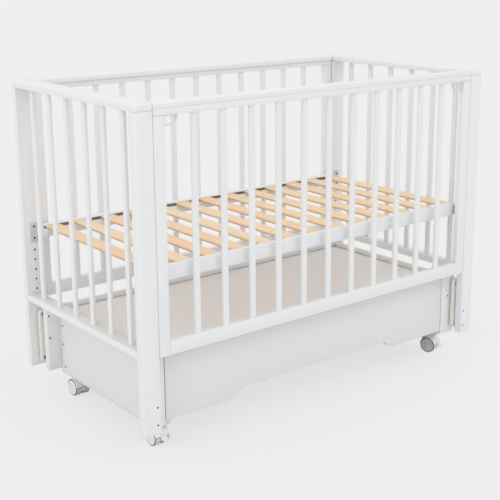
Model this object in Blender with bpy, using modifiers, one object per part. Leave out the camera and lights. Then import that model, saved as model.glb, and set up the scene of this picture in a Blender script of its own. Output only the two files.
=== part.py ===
"""Pendulum crib: a slatted crib that hangs on four short arms from a drawer base on casters.

Metres, +Z up. The origin is on the floor under the middle of the crib.
+X runs along the crib, -Y is the side with the drawer and the drop side.
"""
import math

import bmesh
import bpy
from mathutils import Matrix, Vector

# Whole crib
LENGTH = 1.270
WIDTH = 0.660
HEIGHT = 0.943
SEAT_GAP = 0.0003
SLIDE_GAP = 0.001
OVERRUN = 0.004
EDGE_SOFT = 0.002

# Posts and end rails of the hanging crib
POST_WIDE = 0.052
POST_DEEP = 0.026
POST_BELOW_PIVOT = 0.0255
POST_CORNER = 0.010
END_RAIL_THICK = 0.0214
END_RAIL_ROUND = 0.009

# Laths, shared by ends and sides
LATH_WIDE = 0.018
LATH_THICK = 0.010
LATH_SOFT = 0.0025
TENON = 0.005

# End lattices
END_LATHS = 6
END_LATH_INSET = 0.062
END_FRAME_DEEP = 0.044
END_FRAME_FOOT = 0.284
END_FRAME_TALL = 0.021

# Drop side at the front and fixed side at the back
SIDE_LATHS = 11
SIDE_THICK = 0.018
STILE_WIDE = 0.033
SIDE_FOOT = 0.2855
SIDE_RAIL_LIFT = 0.001
SIDE_RAIL_TALL = 0.0385
LATH_SETBACK = 0.004
TOP_RAIL_DROP = 0.001
TOP_RAIL_TALL = 0.0345
CAP_TALL = 0.0175
CAP_DEEP = 0.024
CAP_ROUND = 0.007
CAP_GROOVE = 0.0012

# Catches of the drop side
CATCH_WIDE = 0.040
CATCH_TALL = 0.027
CATCH_THICK = 0.012
CATCH_ROUND = 0.019
CATCH_SLOT_WIDE = 0.020
CATCH_SLOT_TALL = 0.009
CATCH_SLOT_DOWN = 0.009

# Slatted bed base, in its upper place
BED_TOP = 0.517
BED_RAIL_TALL = 0.039
BED_RAIL_THICK = 0.018
BED_END_CLEARANCE = 0.005
SLATS = 13
SLAT_WIDE = 0.045
SLAT_THICK = 0.008
SLAT_RECESS = 0.005
SLAT_HOUSED = 0.006
SLAT_END_INSET = 0.004
LEDGE_WIDE = 0.012
LEDGE_TALL = 0.018

# Steel brackets between bed and posts, and the row of holes under each
BRACKET_THICK = 0.0024
BRACKET_WIDE = 0.022
BRACKET_TALL = 0.060
BRACKET_LAP = 0.026
BRACKET_TONGUE_TALL = 0.026
BRACKET_ROUND = 0.004
BRACKET_INSET = 0.021
BRACKET_OVER_BED = 0.006
PEG_HOLES = 5
PEG_PITCH = 0.030
PEG_RADIUS = 0.003
PEG_DEEP = 0.010
PEG_FIRST_DOWN = 0.023

# Pendulum: four arms on bolts
PIVOT_INSET = 0.041
PIVOT_HIGH = 0.242
ARM_LENGTH = 0.138
ARM_WIDE = 0.032
ARM_THICK = 0.0128
ARM_LEG_GAP = 0.0046
ARM_UPRIGHT_GAP = 0.0056
BOLT_RADIUS = 0.004
BOLT_PLAY = 0.0003
BOLT_HEAD_RADIUS = 0.009
BOLT_HEAD_THICK = 0.0032
SPACER_RADIUS = 0.008
NUT_RADIUS = 0.0065
NUT_THICK = 0.004
BOLT_RECESS = 0.0008

# Uprights of the base
UPRIGHT_WIDE = 0.062
UPRIGHT_DEEP = 0.025
UPRIGHT_FOOT = 0.070
UPRIGHT_EDGE = 0.008
UPRIGHT_SOFT = 0.004
UPRIGHT_LAP = 0.020

# Base box, whose boards end a little above the uprights
BASE_TOP = 0.2655
BOARDS_RISE = 0.0075
BASE_FOOT = 0.057
PANEL_THICK = 0.016
LID_DOWN = 0.013
LID_THICK = 0.003
GROOVE_DEEP = 0.005
STRETCHER_TALL = 0.040
CLEAT_WIDE = 0.038
CLEAT_TALL = 0.019

# Drawer
DRAWER_GAP = 0.003
DRAWER_FRONT_THICK = 0.018
DRAWER_FRONT_FOOT = 0.0825
DRAWER_FRONT_DROP = 0.003
HAND_GAP_RISE = 0.0255
HAND_GAP_HALF = 0.265
HAND_GAP_RAMP = 0.055
RAMP_STEPS = 10
DRAWER_SIDE_THICK = 0.012
DRAWER_SIDE_TALL = 0.128
DRAWER_SIDE_INSET = 0.009
DRAWER_BACK_GAP = 0.040
DRAWER_BOTTOM_THICK = 0.003
DRAWER_BOTTOM_LIFT = 0.036

# Casters
CASTER_INSET_X = 0.022
CASTER_INSET_Y = 0.040
WHEEL_RADIUS = 0.025
WHEEL_THICK = 0.018
WHEEL_ROUND = 0.003
HUB_RADIUS = 0.015
HUB_DISH = 0.0015
CASTER_WEB = 0.008
WEB_PLAY = 0.0006
AXLE_RADIUS = 0.003
CASTER_TRAIL = 0.020
COVER_PLAY = 0.001
COVER_THICK = 0.0018
COVER_LOW = 0.003
WEB_LOW = 0.008
BOSS_RADIUS = 0.009
SWIVEL_GAP = 0.0012
STEM_RADIUS = 0.0045
STEM_RISE = 0.014
PEDAL_WIDE = 0.016
PEDAL_LONG = 0.017
PEDAL_THICK = 0.0025
PEDAL_PIN_RADIUS = 0.0026
PEDAL_HINGE_LIFT = 0.004
PEDAL_TILT = math.radians(28)
PEDAL_CORNER = 0.004
EAR_THICK = 0.002
FRONT_RIGHT_SWIVEL = math.radians(18)

WELD = 0.00001
TURN_STEPS = 24
BOLT_STEPS = 12
ROUND_STEPS = 4
SMOOTH_UNDER = math.radians(35)
RIM_OVER = math.radians(60)
ROUND_PROFILE_SHARE = 0.5

# Places that follow from the sizes above
HALF_LENGTH = LENGTH / 2
HALF_WIDTH = WIDTH / 2
POST_INNER_X = HALF_LENGTH - POST_WIDE
POST_INNER_Y = HALF_WIDTH - POST_DEEP
POST_TOP = HEIGHT - END_RAIL_THICK - SEAT_GAP
END_LATH_PITCH = 2 * (POST_INNER_Y - END_LATH_INSET) / (END_LATHS - 1)
PIVOT_X = HALF_LENGTH - PIVOT_INSET
PIVOT_LOW = PIVOT_HIGH - ARM_LENGTH
POST_FOOT = PIVOT_LOW - POST_BELOW_PIVOT
ARM_OUTER_Y = POST_INNER_Y - ARM_LEG_GAP
ARM_INNER_Y = ARM_OUTER_Y - ARM_THICK
UPRIGHT_OUTER_Y = ARM_INNER_Y - ARM_UPRIGHT_GAP
UPRIGHT_INNER_Y = UPRIGHT_OUTER_Y - UPRIGHT_DEEP
UPRIGHT_OUTER_X = PIVOT_X + UPRIGHT_EDGE
UPRIGHT_INNER_X = UPRIGHT_OUTER_X - UPRIGHT_WIDE
PANEL_OUTER_X = UPRIGHT_INNER_X + UPRIGHT_LAP
PANEL_INNER_X = PANEL_OUTER_X - PANEL_THICK
BOX_OUTER_Y = UPRIGHT_INNER_Y - SEAT_GAP
BOX_TOP = BASE_TOP + BOARDS_RISE
SIDE_OUTER_Y = HALF_WIDTH
SIDE_INNER_Y = HALF_WIDTH - SIDE_THICK
SIDE_END_X = POST_INNER_X - SLIDE_GAP
STILE_INNER_X = SIDE_END_X - STILE_WIDE
TOP_RAIL_TOP = HEIGHT - TOP_RAIL_DROP
TOP_RAIL_LOW = TOP_RAIL_TOP - TOP_RAIL_TALL
CAP_LOW = TOP_RAIL_TOP - CAP_TALL
BED_HALF_X = POST_INNER_X - BED_END_CLEARANCE
BED_HALF_Y = POST_INNER_Y - BRACKET_THICK - SEAT_GAP - SEAT_GAP
BED_INNER_Y = BED_HALF_Y - BED_RAIL_THICK
CLEAT_TOP = BASE_FOOT + CLEAT_TALL
CASTER_X = PANEL_OUTER_X - CASTER_INSET_X
CASTER_Y = BOX_OUTER_Y - CASTER_INSET_Y

OBJECT_NAME = "pendulum_crib"


def clear_scene():
    for old in list(bpy.data.objects):
        bpy.data.objects.remove(old, do_unlink=True)


def new_collection(name):
    group = bpy.data.collections.new(name)
    bpy.context.scene.collection.children.link(group)
    return group


def new_material(name, colour, roughness, metallic=0.0):
    paint = bpy.data.materials.new(name)
    paint.use_nodes = True
    shader = paint.node_tree.nodes["Principled BSDF"]
    shader.inputs["Base Color"].default_value = (*colour, 1.0)
    shader.inputs["Roughness"].default_value = roughness
    shader.inputs["Metallic"].default_value = metallic
    paint.diffuse_color = (*colour, 1.0)
    return paint


clear_scene()
PARTS = new_collection(OBJECT_NAME)
CUTTERS = new_collection("cutters")

LACQUER = new_material("white_lacquer", (0.80, 0.81, 0.81), 0.35)
BOARD = new_material("white_board", (0.77, 0.77, 0.76), 0.45)
HARDBOARD = new_material("white_hardboard", (0.78, 0.77, 0.74), 0.5)
CREAM = new_material("cream_lacquer", (0.70, 0.73, 0.66), 0.4)
BIRCH = new_material("birch", (0.80, 0.55, 0.38), 0.5)
WHITE_PLASTIC = new_material("white_plastic", (0.76, 0.78, 0.78), 0.35)
HOOD_PLASTIC = new_material("hood_plastic", (0.72, 0.72, 0.69), 0.35)
WHEEL_PLASTIC = new_material("wheel_plastic", (0.40, 0.37, 0.36), 0.4)
STEEL = new_material("zinc_plated_steel", (0.45, 0.45, 0.44), 0.4, 0.9)
DARK_STEEL = new_material("dark_steel", (0.08, 0.08, 0.08), 0.4, 0.9)


def empty(name, place, turn=0.0):
    """Marks the joint of a moving body; the body's pieces hang from it."""
    marker = bpy.data.objects.new(name, None)
    marker.location = place
    marker.rotation_euler = (0.0, 0.0, turn)
    PARTS.objects.link(marker)
    bpy.context.view_layer.update()
    return marker


def hang(piece, marker):
    """Parents a piece that is modelled in world places and keeps it there."""
    piece.parent = marker
    piece.matrix_parent_inverse = marker.matrix_world.inverted()


def add_object(name, mesh, paint=None, group=None):
    piece = bpy.data.objects.new(name, mesh)
    (group or PARTS).objects.link(piece)
    if paint:
        mesh.materials.append(paint)
    return piece


def shade_round(mesh):
    mesh.shade_smooth()
    mesh.set_sharp_from_angle(angle=SMOOTH_UNDER)


def to_mesh(shape, name):
    mesh = bpy.data.meshes.new(name)
    bmesh.ops.recalc_face_normals(shape, faces=shape.faces)
    shape.to_mesh(mesh)
    shape.free()
    return mesh


def block(low, high):
    """Box between two corners, from a unit cube."""
    shape = bmesh.new()
    bmesh.ops.create_cube(shape, size=1)
    low = Vector(low)
    high = Vector(high)
    bmesh.ops.scale(shape, vec=high - low, verts=shape.verts)
    bmesh.ops.translate(shape, vec=(low + high) / 2, verts=shape.verts)
    return shape


def mirrored_block(sign_x, sign_y, low, high):
    """Block for one corner of the crib: sizes are given for +X and +Y, signs place it."""
    xs = sorted((sign_x * low[0], sign_x * high[0]))
    ys = sorted((sign_y * low[1], sign_y * high[1]))
    return block((xs[0], ys[0], low[2]), (xs[1], ys[1], high[2]))


def edges_along(shape, axis):
    """Edges that run along one axis (0, 1 or 2)."""
    found = []
    for edge in shape.edges:
        run = edge.verts[1].co - edge.verts[0].co
        if abs(run[axis]) > 0.99 * run.length:
            found.append(edge)
    return found


def round_edges(shape, edges, radius, steps=ROUND_STEPS):
    bmesh.ops.bevel(
        shape, geom=edges, offset=radius, offset_type="OFFSET",
        segments=steps, profile=ROUND_PROFILE_SHARE, affect="EDGES", clamp_overlap=True,
    )


def soften(shape, axis, radius, steps=2):
    round_edges(shape, edges_along(shape, axis), radius, steps)


def merge(target, addition):
    """Adds the faces of one shape to another as a separate island."""
    spare = bpy.data.meshes.new("spare")
    addition.to_mesh(spare)
    addition.free()
    target.from_mesh(spare)
    bpy.data.meshes.remove(spare)


def boolean(piece, shape, operation, name):
    """Joins a shape to a piece or cuts it out; the hidden helper rides with the piece."""
    helper = add_object(name, to_mesh(shape, name), group=CUTTERS)
    helper.hide_render = True
    helper.display_type = "WIRE"
    helper.parent = piece
    step = piece.modifiers.new(name, "BOOLEAN")
    step.operation = operation
    step.solver = "EXACT"
    step.object = helper
    return helper


def rod(start, end, radius, steps=TURN_STEPS):
    """Round bar between two points, from a cylinder primitive."""
    start = Vector(start)
    end = Vector(end)
    run = end - start
    shape = bmesh.new()
    bmesh.ops.create_cone(
        shape, cap_ends=True, segments=steps, radius1=radius, radius2=radius, depth=run.length,
    )
    turn = run.to_track_quat("Z", "Y").to_matrix().to_4x4()
    bmesh.ops.transform(shape, matrix=Matrix.Translation((start + end) / 2) @ turn, verts=shape.verts)
    return shape


def turned(name, profile, paint, steps, place=None):
    """Turned piece: the profile lists (radius, height) from the top of the axis down its outer side."""
    mesh = bpy.data.meshes.new(name)
    points = [(radius, 0.0, height) for radius, height in profile]
    runs = [(index, index + 1) for index in range(len(points) - 1)]
    mesh.from_pydata(points, runs, [])
    piece = add_object(name, mesh, paint)
    lathe = piece.modifiers.new("lathe", "SCREW")
    lathe.axis = "Z"
    lathe.steps = steps
    lathe.render_steps = steps
    lathe.use_merge_vertices = True
    lathe.merge_threshold = WELD
    lathe.use_smooth_shade = True
    if place is not None:
        piece.matrix_world = place
    return piece


def outline_plate(name, outlines, thickness, turn):
    """Flat plate from closed outlines; the first is the edge and the others are holes."""
    curve = bpy.data.curves.new(name, "CURVE")
    curve.dimensions = "2D"
    curve.fill_mode = "BOTH"
    curve.extrude = thickness / 2
    for points in outlines:
        spline = curve.splines.new("POLY")
        spline.points.add(len(points) - 1)
        for point, (across, up) in zip(spline.points, points):
            point.co = (across, up, 0.0, 1.0)
        spline.use_cyclic_u = True
    holder = bpy.data.objects.new(name + "_outline", curve)
    CUTTERS.objects.link(holder)
    bpy.context.view_layer.update()
    evaluated = holder.evaluated_get(bpy.context.evaluated_depsgraph_get())
    mesh = bpy.data.meshes.new_from_object(evaluated)
    bpy.data.objects.remove(holder, do_unlink=True)
    shape = bmesh.new()
    shape.from_mesh(mesh)
    bmesh.ops.remove_doubles(shape, verts=shape.verts, dist=WELD)
    bmesh.ops.transform(shape, matrix=turn, verts=shape.verts)
    bpy.data.meshes.remove(mesh)
    return shape


def arc(centre, radius, start, end, steps):
    """Points on an arc, both ends included; angles in degrees."""
    points = []
    for index in range(steps + 1):
        angle = math.radians(start + (end - start) * index / steps)
        points.append((centre[0] + radius * math.cos(angle), centre[1] + radius * math.sin(angle)))
    return points


def ring(centre, radius):
    return arc(centre, radius, 0, 360, BOLT_STEPS)[:-1]


# An outline's own axes are laid on the world's: across to X and up to Z, or across to Y and up to Z.
FACING_FRONT = Matrix.Rotation(math.radians(90), 4, "X")
FACING_END = Matrix(((0, 0, 1, 0), (1, 0, 0, 0), (0, 1, 0, 0), (0, 0, 0, 1)))

SIDES_X = (("left", -1), ("right", 1))
SIDES_Y = (("front", -1), ("back", 1))


def bolt_hole_radius():
    """A faceted hole is measured at the middle of its flats."""
    return (BOLT_RADIUS + BOLT_PLAY) / math.cos(math.pi / BOLT_STEPS)


def build_post(name, sign_x, sign_y, crib):
    shape = mirrored_block(
        sign_x, sign_y, (POST_INNER_X, POST_INNER_Y, POST_FOOT), (HALF_LENGTH, HALF_WIDTH, POST_TOP),
    )
    outer = []
    inner = []
    for edge in edges_along(shape, 2):
        spot = edge.verts[0].co
        is_outer = abs(spot.x) > HALF_LENGTH - SEAT_GAP and abs(spot.y) > HALF_WIDTH - SEAT_GAP
        (outer if is_outer else inner).append(edge)
    round_edges(shape, outer, POST_CORNER)
    round_edges(shape, [edge for edge in inner if edge.is_valid], EDGE_SOFT, 2)
    post = add_object(name, to_mesh(shape, name), LACQUER)
    hole_x = sign_x * PIVOT_X
    holes = rod(
        (hole_x, sign_y * (POST_INNER_Y - OVERRUN), PIVOT_LOW),
        (hole_x, sign_y * (HALF_WIDTH + OVERRUN), PIVOT_LOW), bolt_hole_radius(), BOLT_STEPS,
    )
    peg_x = sign_x * (HALF_LENGTH - BRACKET_INSET - BRACKET_WIDE / 2)
    bracket_foot = BED_TOP + BRACKET_OVER_BED - BRACKET_TALL
    for index in range(PEG_HOLES):
        height = bracket_foot - PEG_FIRST_DOWN - index * PEG_PITCH
        merge(holes, rod(
            (peg_x, sign_y * (POST_INNER_Y - OVERRUN), height),
            (peg_x, sign_y * (POST_INNER_Y + PEG_DEEP), height), PEG_RADIUS, BOLT_STEPS,
        ))
    boolean(post, holes, "DIFFERENCE", name + "_holes")
    hang(post, crib)


def build_end_rail(name, sign_x, crib):
    """Board laid flat over the two posts of an end."""
    shape = mirrored_block(
        sign_x, 1, (POST_INNER_X, -HALF_WIDTH, HEIGHT - END_RAIL_THICK), (HALF_LENGTH, HALF_WIDTH, HEIGHT),
    )
    edges = edges_along(shape, 2)
    for axis in (0, 1):
        edges += [edge for edge in edges_along(shape, axis) if edge.verts[0].co.z > HEIGHT - SEAT_GAP]
    round_edges(shape, edges, END_RAIL_ROUND)
    hang(add_object(name, to_mesh(shape, name), LACQUER), crib)


def build_end_lattice(name, sign_x, crib):
    """Bottom rail laid flat between two posts, with upright laths tenoned into its middle."""
    middle_x = HALF_LENGTH - END_FRAME_DEEP / 2
    rail = mirrored_block(
        sign_x, 1,
        (HALF_LENGTH - END_FRAME_DEEP, -POST_INNER_Y + SEAT_GAP, END_FRAME_FOOT),
        (HALF_LENGTH, POST_INNER_Y - SEAT_GAP, END_FRAME_FOOT + END_FRAME_TALL),
    )
    soften(rail, 1, EDGE_SOFT)
    piece = add_object(name, to_mesh(rail, name), LACQUER)
    laths = bmesh.new()
    for index in range(END_LATHS):
        centre_y = (index - (END_LATHS - 1) / 2) * END_LATH_PITCH
        lath = mirrored_block(
            sign_x, 1,
            (middle_x - LATH_THICK / 2, centre_y - LATH_WIDE / 2, END_FRAME_FOOT + END_FRAME_TALL - TENON),
            (middle_x + LATH_THICK / 2, centre_y + LATH_WIDE / 2, POST_TOP),
        )
        soften(lath, 2, LATH_SOFT)
        merge(laths, lath)
    boolean(piece, laths, "UNION", name + "_laths")
    hang(piece, crib)


def build_side_frame(name, sign_y, marker):
    """Two stiles, a bottom rail and upright laths, glued up as one frame."""
    rail_foot = SIDE_FOOT + SIDE_RAIL_LIFT
    rail_top = rail_foot + SIDE_RAIL_TALL
    stile_top = TOP_RAIL_LOW - SEAT_GAP
    rail = mirrored_block(
        1, sign_y,
        (-STILE_INNER_X - TENON, SIDE_INNER_Y, rail_foot), (STILE_INNER_X + TENON, SIDE_OUTER_Y, rail_top),
    )
    piece = add_object(name, to_mesh(rail, name), LACQUER)
    uprights = bmesh.new()
    for sign_x in (-1, 1):
        stile = mirrored_block(
            sign_x, sign_y, (STILE_INNER_X, SIDE_INNER_Y, SIDE_FOOT), (SIDE_END_X, SIDE_OUTER_Y, stile_top),
        )
        soften(stile, 2, EDGE_SOFT)
        merge(uprights, stile)
    pitch = 2 * STILE_INNER_X / (SIDE_LATHS + 1)
    for index in range(SIDE_LATHS):
        centre_x = (index - (SIDE_LATHS - 1) / 2) * pitch
        lath = mirrored_block(
            1, sign_y,
            (centre_x - LATH_WIDE / 2, SIDE_OUTER_Y - LATH_SETBACK - LATH_THICK, rail_top - TENON),
            (centre_x + LATH_WIDE / 2, SIDE_OUTER_Y - LATH_SETBACK, stile_top),
        )
        soften(lath, 2, LATH_SOFT)
        merge(uprights, lath)
    boolean(piece, uprights, "UNION", name + "_uprights")
    hang(piece, marker)


def build_top_rail(name, sign_y, marker):
    """Rail over the laths with a wider rounded cap; a fine groove runs along the joint."""
    cap_inner = SIDE_OUTER_Y - CAP_DEEP
    outline = [(SIDE_INNER_Y, TOP_RAIL_LOW), (SIDE_OUTER_Y, TOP_RAIL_LOW)]
    outline += [(SIDE_OUTER_Y, CAP_LOW - CAP_GROOVE), (SIDE_OUTER_Y - CAP_GROOVE, CAP_LOW)]
    outline += [(SIDE_OUTER_Y, CAP_LOW + CAP_GROOVE)]
    outline += arc((SIDE_OUTER_Y - CAP_ROUND, TOP_RAIL_TOP - CAP_ROUND), CAP_ROUND, 0, 90, ROUND_STEPS)
    outline += arc((cap_inner + CAP_ROUND, TOP_RAIL_TOP - CAP_ROUND), CAP_ROUND, 90, 180, ROUND_STEPS)
    outline += [(cap_inner, CAP_LOW), (SIDE_INNER_Y, CAP_LOW)]
    shape = outline_plate(name, [outline], 2 * SIDE_END_X, FACING_END)
    if sign_y < 0:
        bmesh.ops.scale(shape, vec=(1, -1, 1), verts=shape.verts)
    hang(add_object(name, to_mesh(shape, name), LACQUER), marker)


def build_catch(name, sign_x, marker):
    """Moulded lever under the top rail, beside a stile: flat on top and rounded below, with a finger slot."""
    near = STILE_INNER_X - SLIDE_GAP
    far = near - CATCH_WIDE
    top = TOP_RAIL_LOW - SEAT_GAP
    low = top - CATCH_TALL
    corner = (far + CATCH_ROUND, low + CATCH_ROUND)
    outline = [(near, top), (near, low + EDGE_SOFT), (near - EDGE_SOFT, low)]
    outline += arc(corner, CATCH_ROUND, 270, 180, 2 * ROUND_STEPS)
    outline += [(far, top)]
    middle = (near + far) / 2
    slot_top = top - CATCH_SLOT_DOWN
    slot_low = slot_top - CATCH_SLOT_TALL
    half = CATCH_SLOT_WIDE / 2 - CATCH_SLOT_TALL / 2
    slot_middle = (slot_top + slot_low) / 2
    slot = arc((middle + half, slot_middle), CATCH_SLOT_TALL / 2, -90, 90, ROUND_STEPS)
    slot += arc((middle - half, slot_middle), CATCH_SLOT_TALL / 2, 90, 270, ROUND_STEPS)
    shape = outline_plate(name, [outline, slot], CATCH_THICK, FACING_FRONT)
    bmesh.ops.scale(shape, vec=(sign_x, 1, 1), verts=shape.verts)
    middle_y = -(SIDE_OUTER_Y + SIDE_INNER_Y) / 2
    bmesh.ops.translate(shape, vec=(0, middle_y, 0), verts=shape.verts)
    hang(add_object(name, to_mesh(shape, name), WHITE_PLASTIC), marker)


def build_bed(crib):
    """Two long rails; the slats' ends sit in grooves in them and lie on ledges."""
    foot = BED_TOP - BED_RAIL_TALL
    slat_top = BED_TOP - SLAT_RECESS
    slat_low = slat_top - SLAT_THICK
    groove_y = BED_INNER_Y + SLAT_HOUSED
    for where, sign in SIDES_Y:
        name = "bed_rail_" + where
        shape = mirrored_block(
            1, sign, (-BED_HALF_X, BED_INNER_Y, foot), (BED_HALF_X, BED_HALF_Y, BED_TOP),
        )
        soften(shape, 0, EDGE_SOFT)
        rail = add_object(name, to_mesh(shape, name), LACQUER)
        groove = mirrored_block(
            1, sign, (-BED_HALF_X - OVERRUN, BED_INNER_Y - OVERRUN, slat_low - SEAT_GAP),
            (BED_HALF_X + OVERRUN, groove_y, slat_top + SEAT_GAP),
        )
        boolean(rail, groove, "DIFFERENCE", name + "_groove")
        hang(rail, crib)
    ledge_outer = BED_INNER_Y - SEAT_GAP
    ledge_inner = ledge_outer - LEDGE_WIDE
    ledge_low = slat_low - LEDGE_TALL
    ledge_top = slat_low + SEAT_GAP
    ledge = block((-BED_HALF_X, -ledge_outer, ledge_low), (BED_HALF_X, -ledge_inner, ledge_top))
    slats = add_object("bed_slats", to_mesh(ledge, "bed_slats"), BIRCH)
    first_x = -BED_HALF_X + SLAT_END_INSET + SLAT_WIDE / 2
    pitch = -2 * first_x / (SLATS - 1)
    slat_end = groove_y - SEAT_GAP
    others = bmesh.new()
    for index in range(SLATS):
        centre_x = first_x + index * pitch
        slat = block(
            (centre_x - SLAT_WIDE / 2, -slat_end, slat_low), (centre_x + SLAT_WIDE / 2, slat_end, slat_top),
        )
        soften(slat, 1, EDGE_SOFT, 1)
        merge(others, slat)
    boolean(slats, others, "UNION", "bed_slats_laid")
    back_ledge = block((-BED_HALF_X, ledge_inner, ledge_low), (BED_HALF_X, ledge_outer, ledge_top))
    boolean(slats, back_ledge, "UNION", "bed_slats_back_ledge")
    hang(slats, crib)


def build_bracket(name, sign_x, sign_y, crib):
    """Steel plate on a post, with a tongue that is screwed to the bed's long rail."""
    outer = HALF_LENGTH - BRACKET_INSET
    inner = outer - BRACKET_WIDE
    tip = BED_HALF_X - BRACKET_LAP
    top = BED_TOP + BRACKET_OVER_BED
    low = top - BRACKET_TALL
    tongue_top = BED_TOP - BRACKET_OVER_BED
    tongue_low = tongue_top - BRACKET_TONGUE_TALL
    round_it = BRACKET_ROUND
    outline = arc((outer - round_it, top - round_it), round_it, 0, 90, ROUND_STEPS)
    outline += arc((inner + round_it, top - round_it), round_it, 90, 180, ROUND_STEPS)
    outline += [(inner, tongue_top)]
    outline += arc((tip + round_it, tongue_top - round_it), round_it, 90, 180, ROUND_STEPS)
    outline += arc((tip + round_it, tongue_low + round_it), round_it, 180, 270, ROUND_STEPS)
    outline += [(inner, tongue_low)]
    outline += arc((inner + round_it, low + round_it), round_it, 180, 270, ROUND_STEPS)
    outline += arc((outer - round_it, low + round_it), round_it, 270, 360, ROUND_STEPS)
    shape = outline_plate(name, [outline], BRACKET_THICK, FACING_FRONT)
    bmesh.ops.scale(shape, vec=(sign_x, 1, 1), verts=shape.verts)
    middle_y = sign_y * (POST_INNER_Y - SEAT_GAP - BRACKET_THICK / 2)
    bmesh.ops.translate(shape, vec=(0, middle_y, 0), verts=shape.verts)
    hang(add_object(name, to_mesh(shape, name), STEEL), crib)


def build_arm(name, sign_x, sign_y):
    """Pendulum arm with round ends and a hole for the bolt at each end; its origin is its top pivot."""
    half = ARM_WIDE / 2
    outline = arc((0, 0), half, 0, 180, TURN_STEPS // 2)
    outline += arc((0, -ARM_LENGTH), half, 180, 360, TURN_STEPS // 2)
    holes = [ring((0, 0), bolt_hole_radius()), ring((0, -ARM_LENGTH), bolt_hole_radius())]
    shape = outline_plate(name, [outline] + holes, ARM_THICK, FACING_FRONT)
    rim = [edge for edge in shape.edges if edge.calc_face_angle(0) > RIM_OVER]
    outer_rim = [edge for edge in rim if max(abs(vert.co.x) for vert in edge.verts) > BOLT_RADIUS * 2
                 or max(vert.co.z for vert in edge.verts) > BOLT_RADIUS * 2
                 or min(vert.co.z for vert in edge.verts) < -ARM_LENGTH - BOLT_RADIUS * 2]
    round_edges(shape, outer_rim, EDGE_SOFT, 2)
    arm = add_object(name, to_mesh(shape, name), CREAM)
    arm.location = (sign_x * PIVOT_X, sign_y * (ARM_OUTER_Y + ARM_INNER_Y) / 2, PIVOT_HIGH)
    shade_round(arm.data)


def bolt_frame(sign_x, sign_y, height):
    """Bolts are turned along Z; this lays them along Y with their heads on the outer side."""
    turn = Matrix.Rotation(math.radians(90) * -sign_y, 4, "X")
    return Matrix.Translation((sign_x * PIVOT_X, 0, height)) @ turn


def build_upper_bolt(name, sign_x, sign_y):
    """Head outside the arm, spacer between arm and upright, nut inside the upright."""
    head_low = ARM_OUTER_Y + SEAT_GAP
    head_high = head_low + BOLT_HEAD_THICK
    spacer_high = ARM_INNER_Y - SEAT_GAP
    spacer_low = UPRIGHT_OUTER_Y + SEAT_GAP
    nut_high = UPRIGHT_INNER_Y - SEAT_GAP
    nut_low = nut_high - NUT_THICK
    profile = [
        (0, head_high), (BOLT_HEAD_RADIUS - EDGE_SOFT, head_high), (BOLT_HEAD_RADIUS, head_high - EDGE_SOFT),
        (BOLT_HEAD_RADIUS, head_low), (BOLT_RADIUS, head_low), (BOLT_RADIUS, spacer_high),
        (SPACER_RADIUS, spacer_high), (SPACER_RADIUS, spacer_low), (BOLT_RADIUS, spacer_low),
        (BOLT_RADIUS, nut_high), (NUT_RADIUS, nut_high), (NUT_RADIUS, nut_low), (0, nut_low),
    ]
    turned(name, profile, DARK_STEEL, BOLT_STEPS, bolt_frame(sign_x, sign_y, PIVOT_HIGH))


def build_lower_bolt(name, sign_x, sign_y, crib):
    """Socket end just below the leg's face, spacer between leg and arm, flat head behind the arm."""
    tip = HALF_WIDTH - BOLT_RECESS
    spacer_high = POST_INNER_Y - SEAT_GAP
    spacer_low = ARM_OUTER_Y + SEAT_GAP
    head_high = ARM_INNER_Y - SEAT_GAP
    head_low = head_high - BOLT_HEAD_THICK
    profile = [
        (0, tip), (BOLT_RADIUS, tip), (BOLT_RADIUS, spacer_high), (SPACER_RADIUS, spacer_high),
        (SPACER_RADIUS, spacer_low), (BOLT_RADIUS, spacer_low), (BOLT_RADIUS, head_high),
        (BOLT_HEAD_RADIUS, head_high), (BOLT_HEAD_RADIUS, head_low + EDGE_SOFT),
        (BOLT_HEAD_RADIUS - EDGE_SOFT, head_low), (0, head_low),
    ]
    bolt = turned(name, profile, DARK_STEEL, BOLT_STEPS, bolt_frame(sign_x, sign_y, PIVOT_LOW))
    hang(bolt, crib)


def build_upright(name, sign_x, sign_y):
    """Post of the base at a corner of the box, with the hole for the upper pivot bolt."""
    shape = mirrored_block(
        sign_x, sign_y,
        (UPRIGHT_INNER_X, UPRIGHT_INNER_Y, UPRIGHT_FOOT), (UPRIGHT_OUTER_X, UPRIGHT_OUTER_Y, BASE_TOP),
    )
    outer = [edge for edge in edges_along(shape, 2) if abs(edge.verts[0].co.x) > UPRIGHT_OUTER_X - SEAT_GAP]
    round_edges(shape, outer, UPRIGHT_SOFT, 3)
    upright = add_object(name, to_mesh(shape, name), LACQUER)
    hole_x = sign_x * PIVOT_X
    hole = rod(
        (hole_x, sign_y * (UPRIGHT_INNER_Y - OVERRUN), PIVOT_HIGH),
        (hole_x, sign_y * (UPRIGHT_OUTER_Y + OVERRUN), PIVOT_HIGH), bolt_hole_radius(), BOLT_STEPS,
    )
    boolean(upright, hole, "DIFFERENCE", name + "_hole")


def lid_groove(low, high):
    """Slot for the lid's edge, with its play above and below."""
    lid_top = BOX_TOP - LID_DOWN
    return block((*low, lid_top - LID_THICK - SEAT_GAP), (*high, lid_top + SEAT_GAP))


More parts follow.
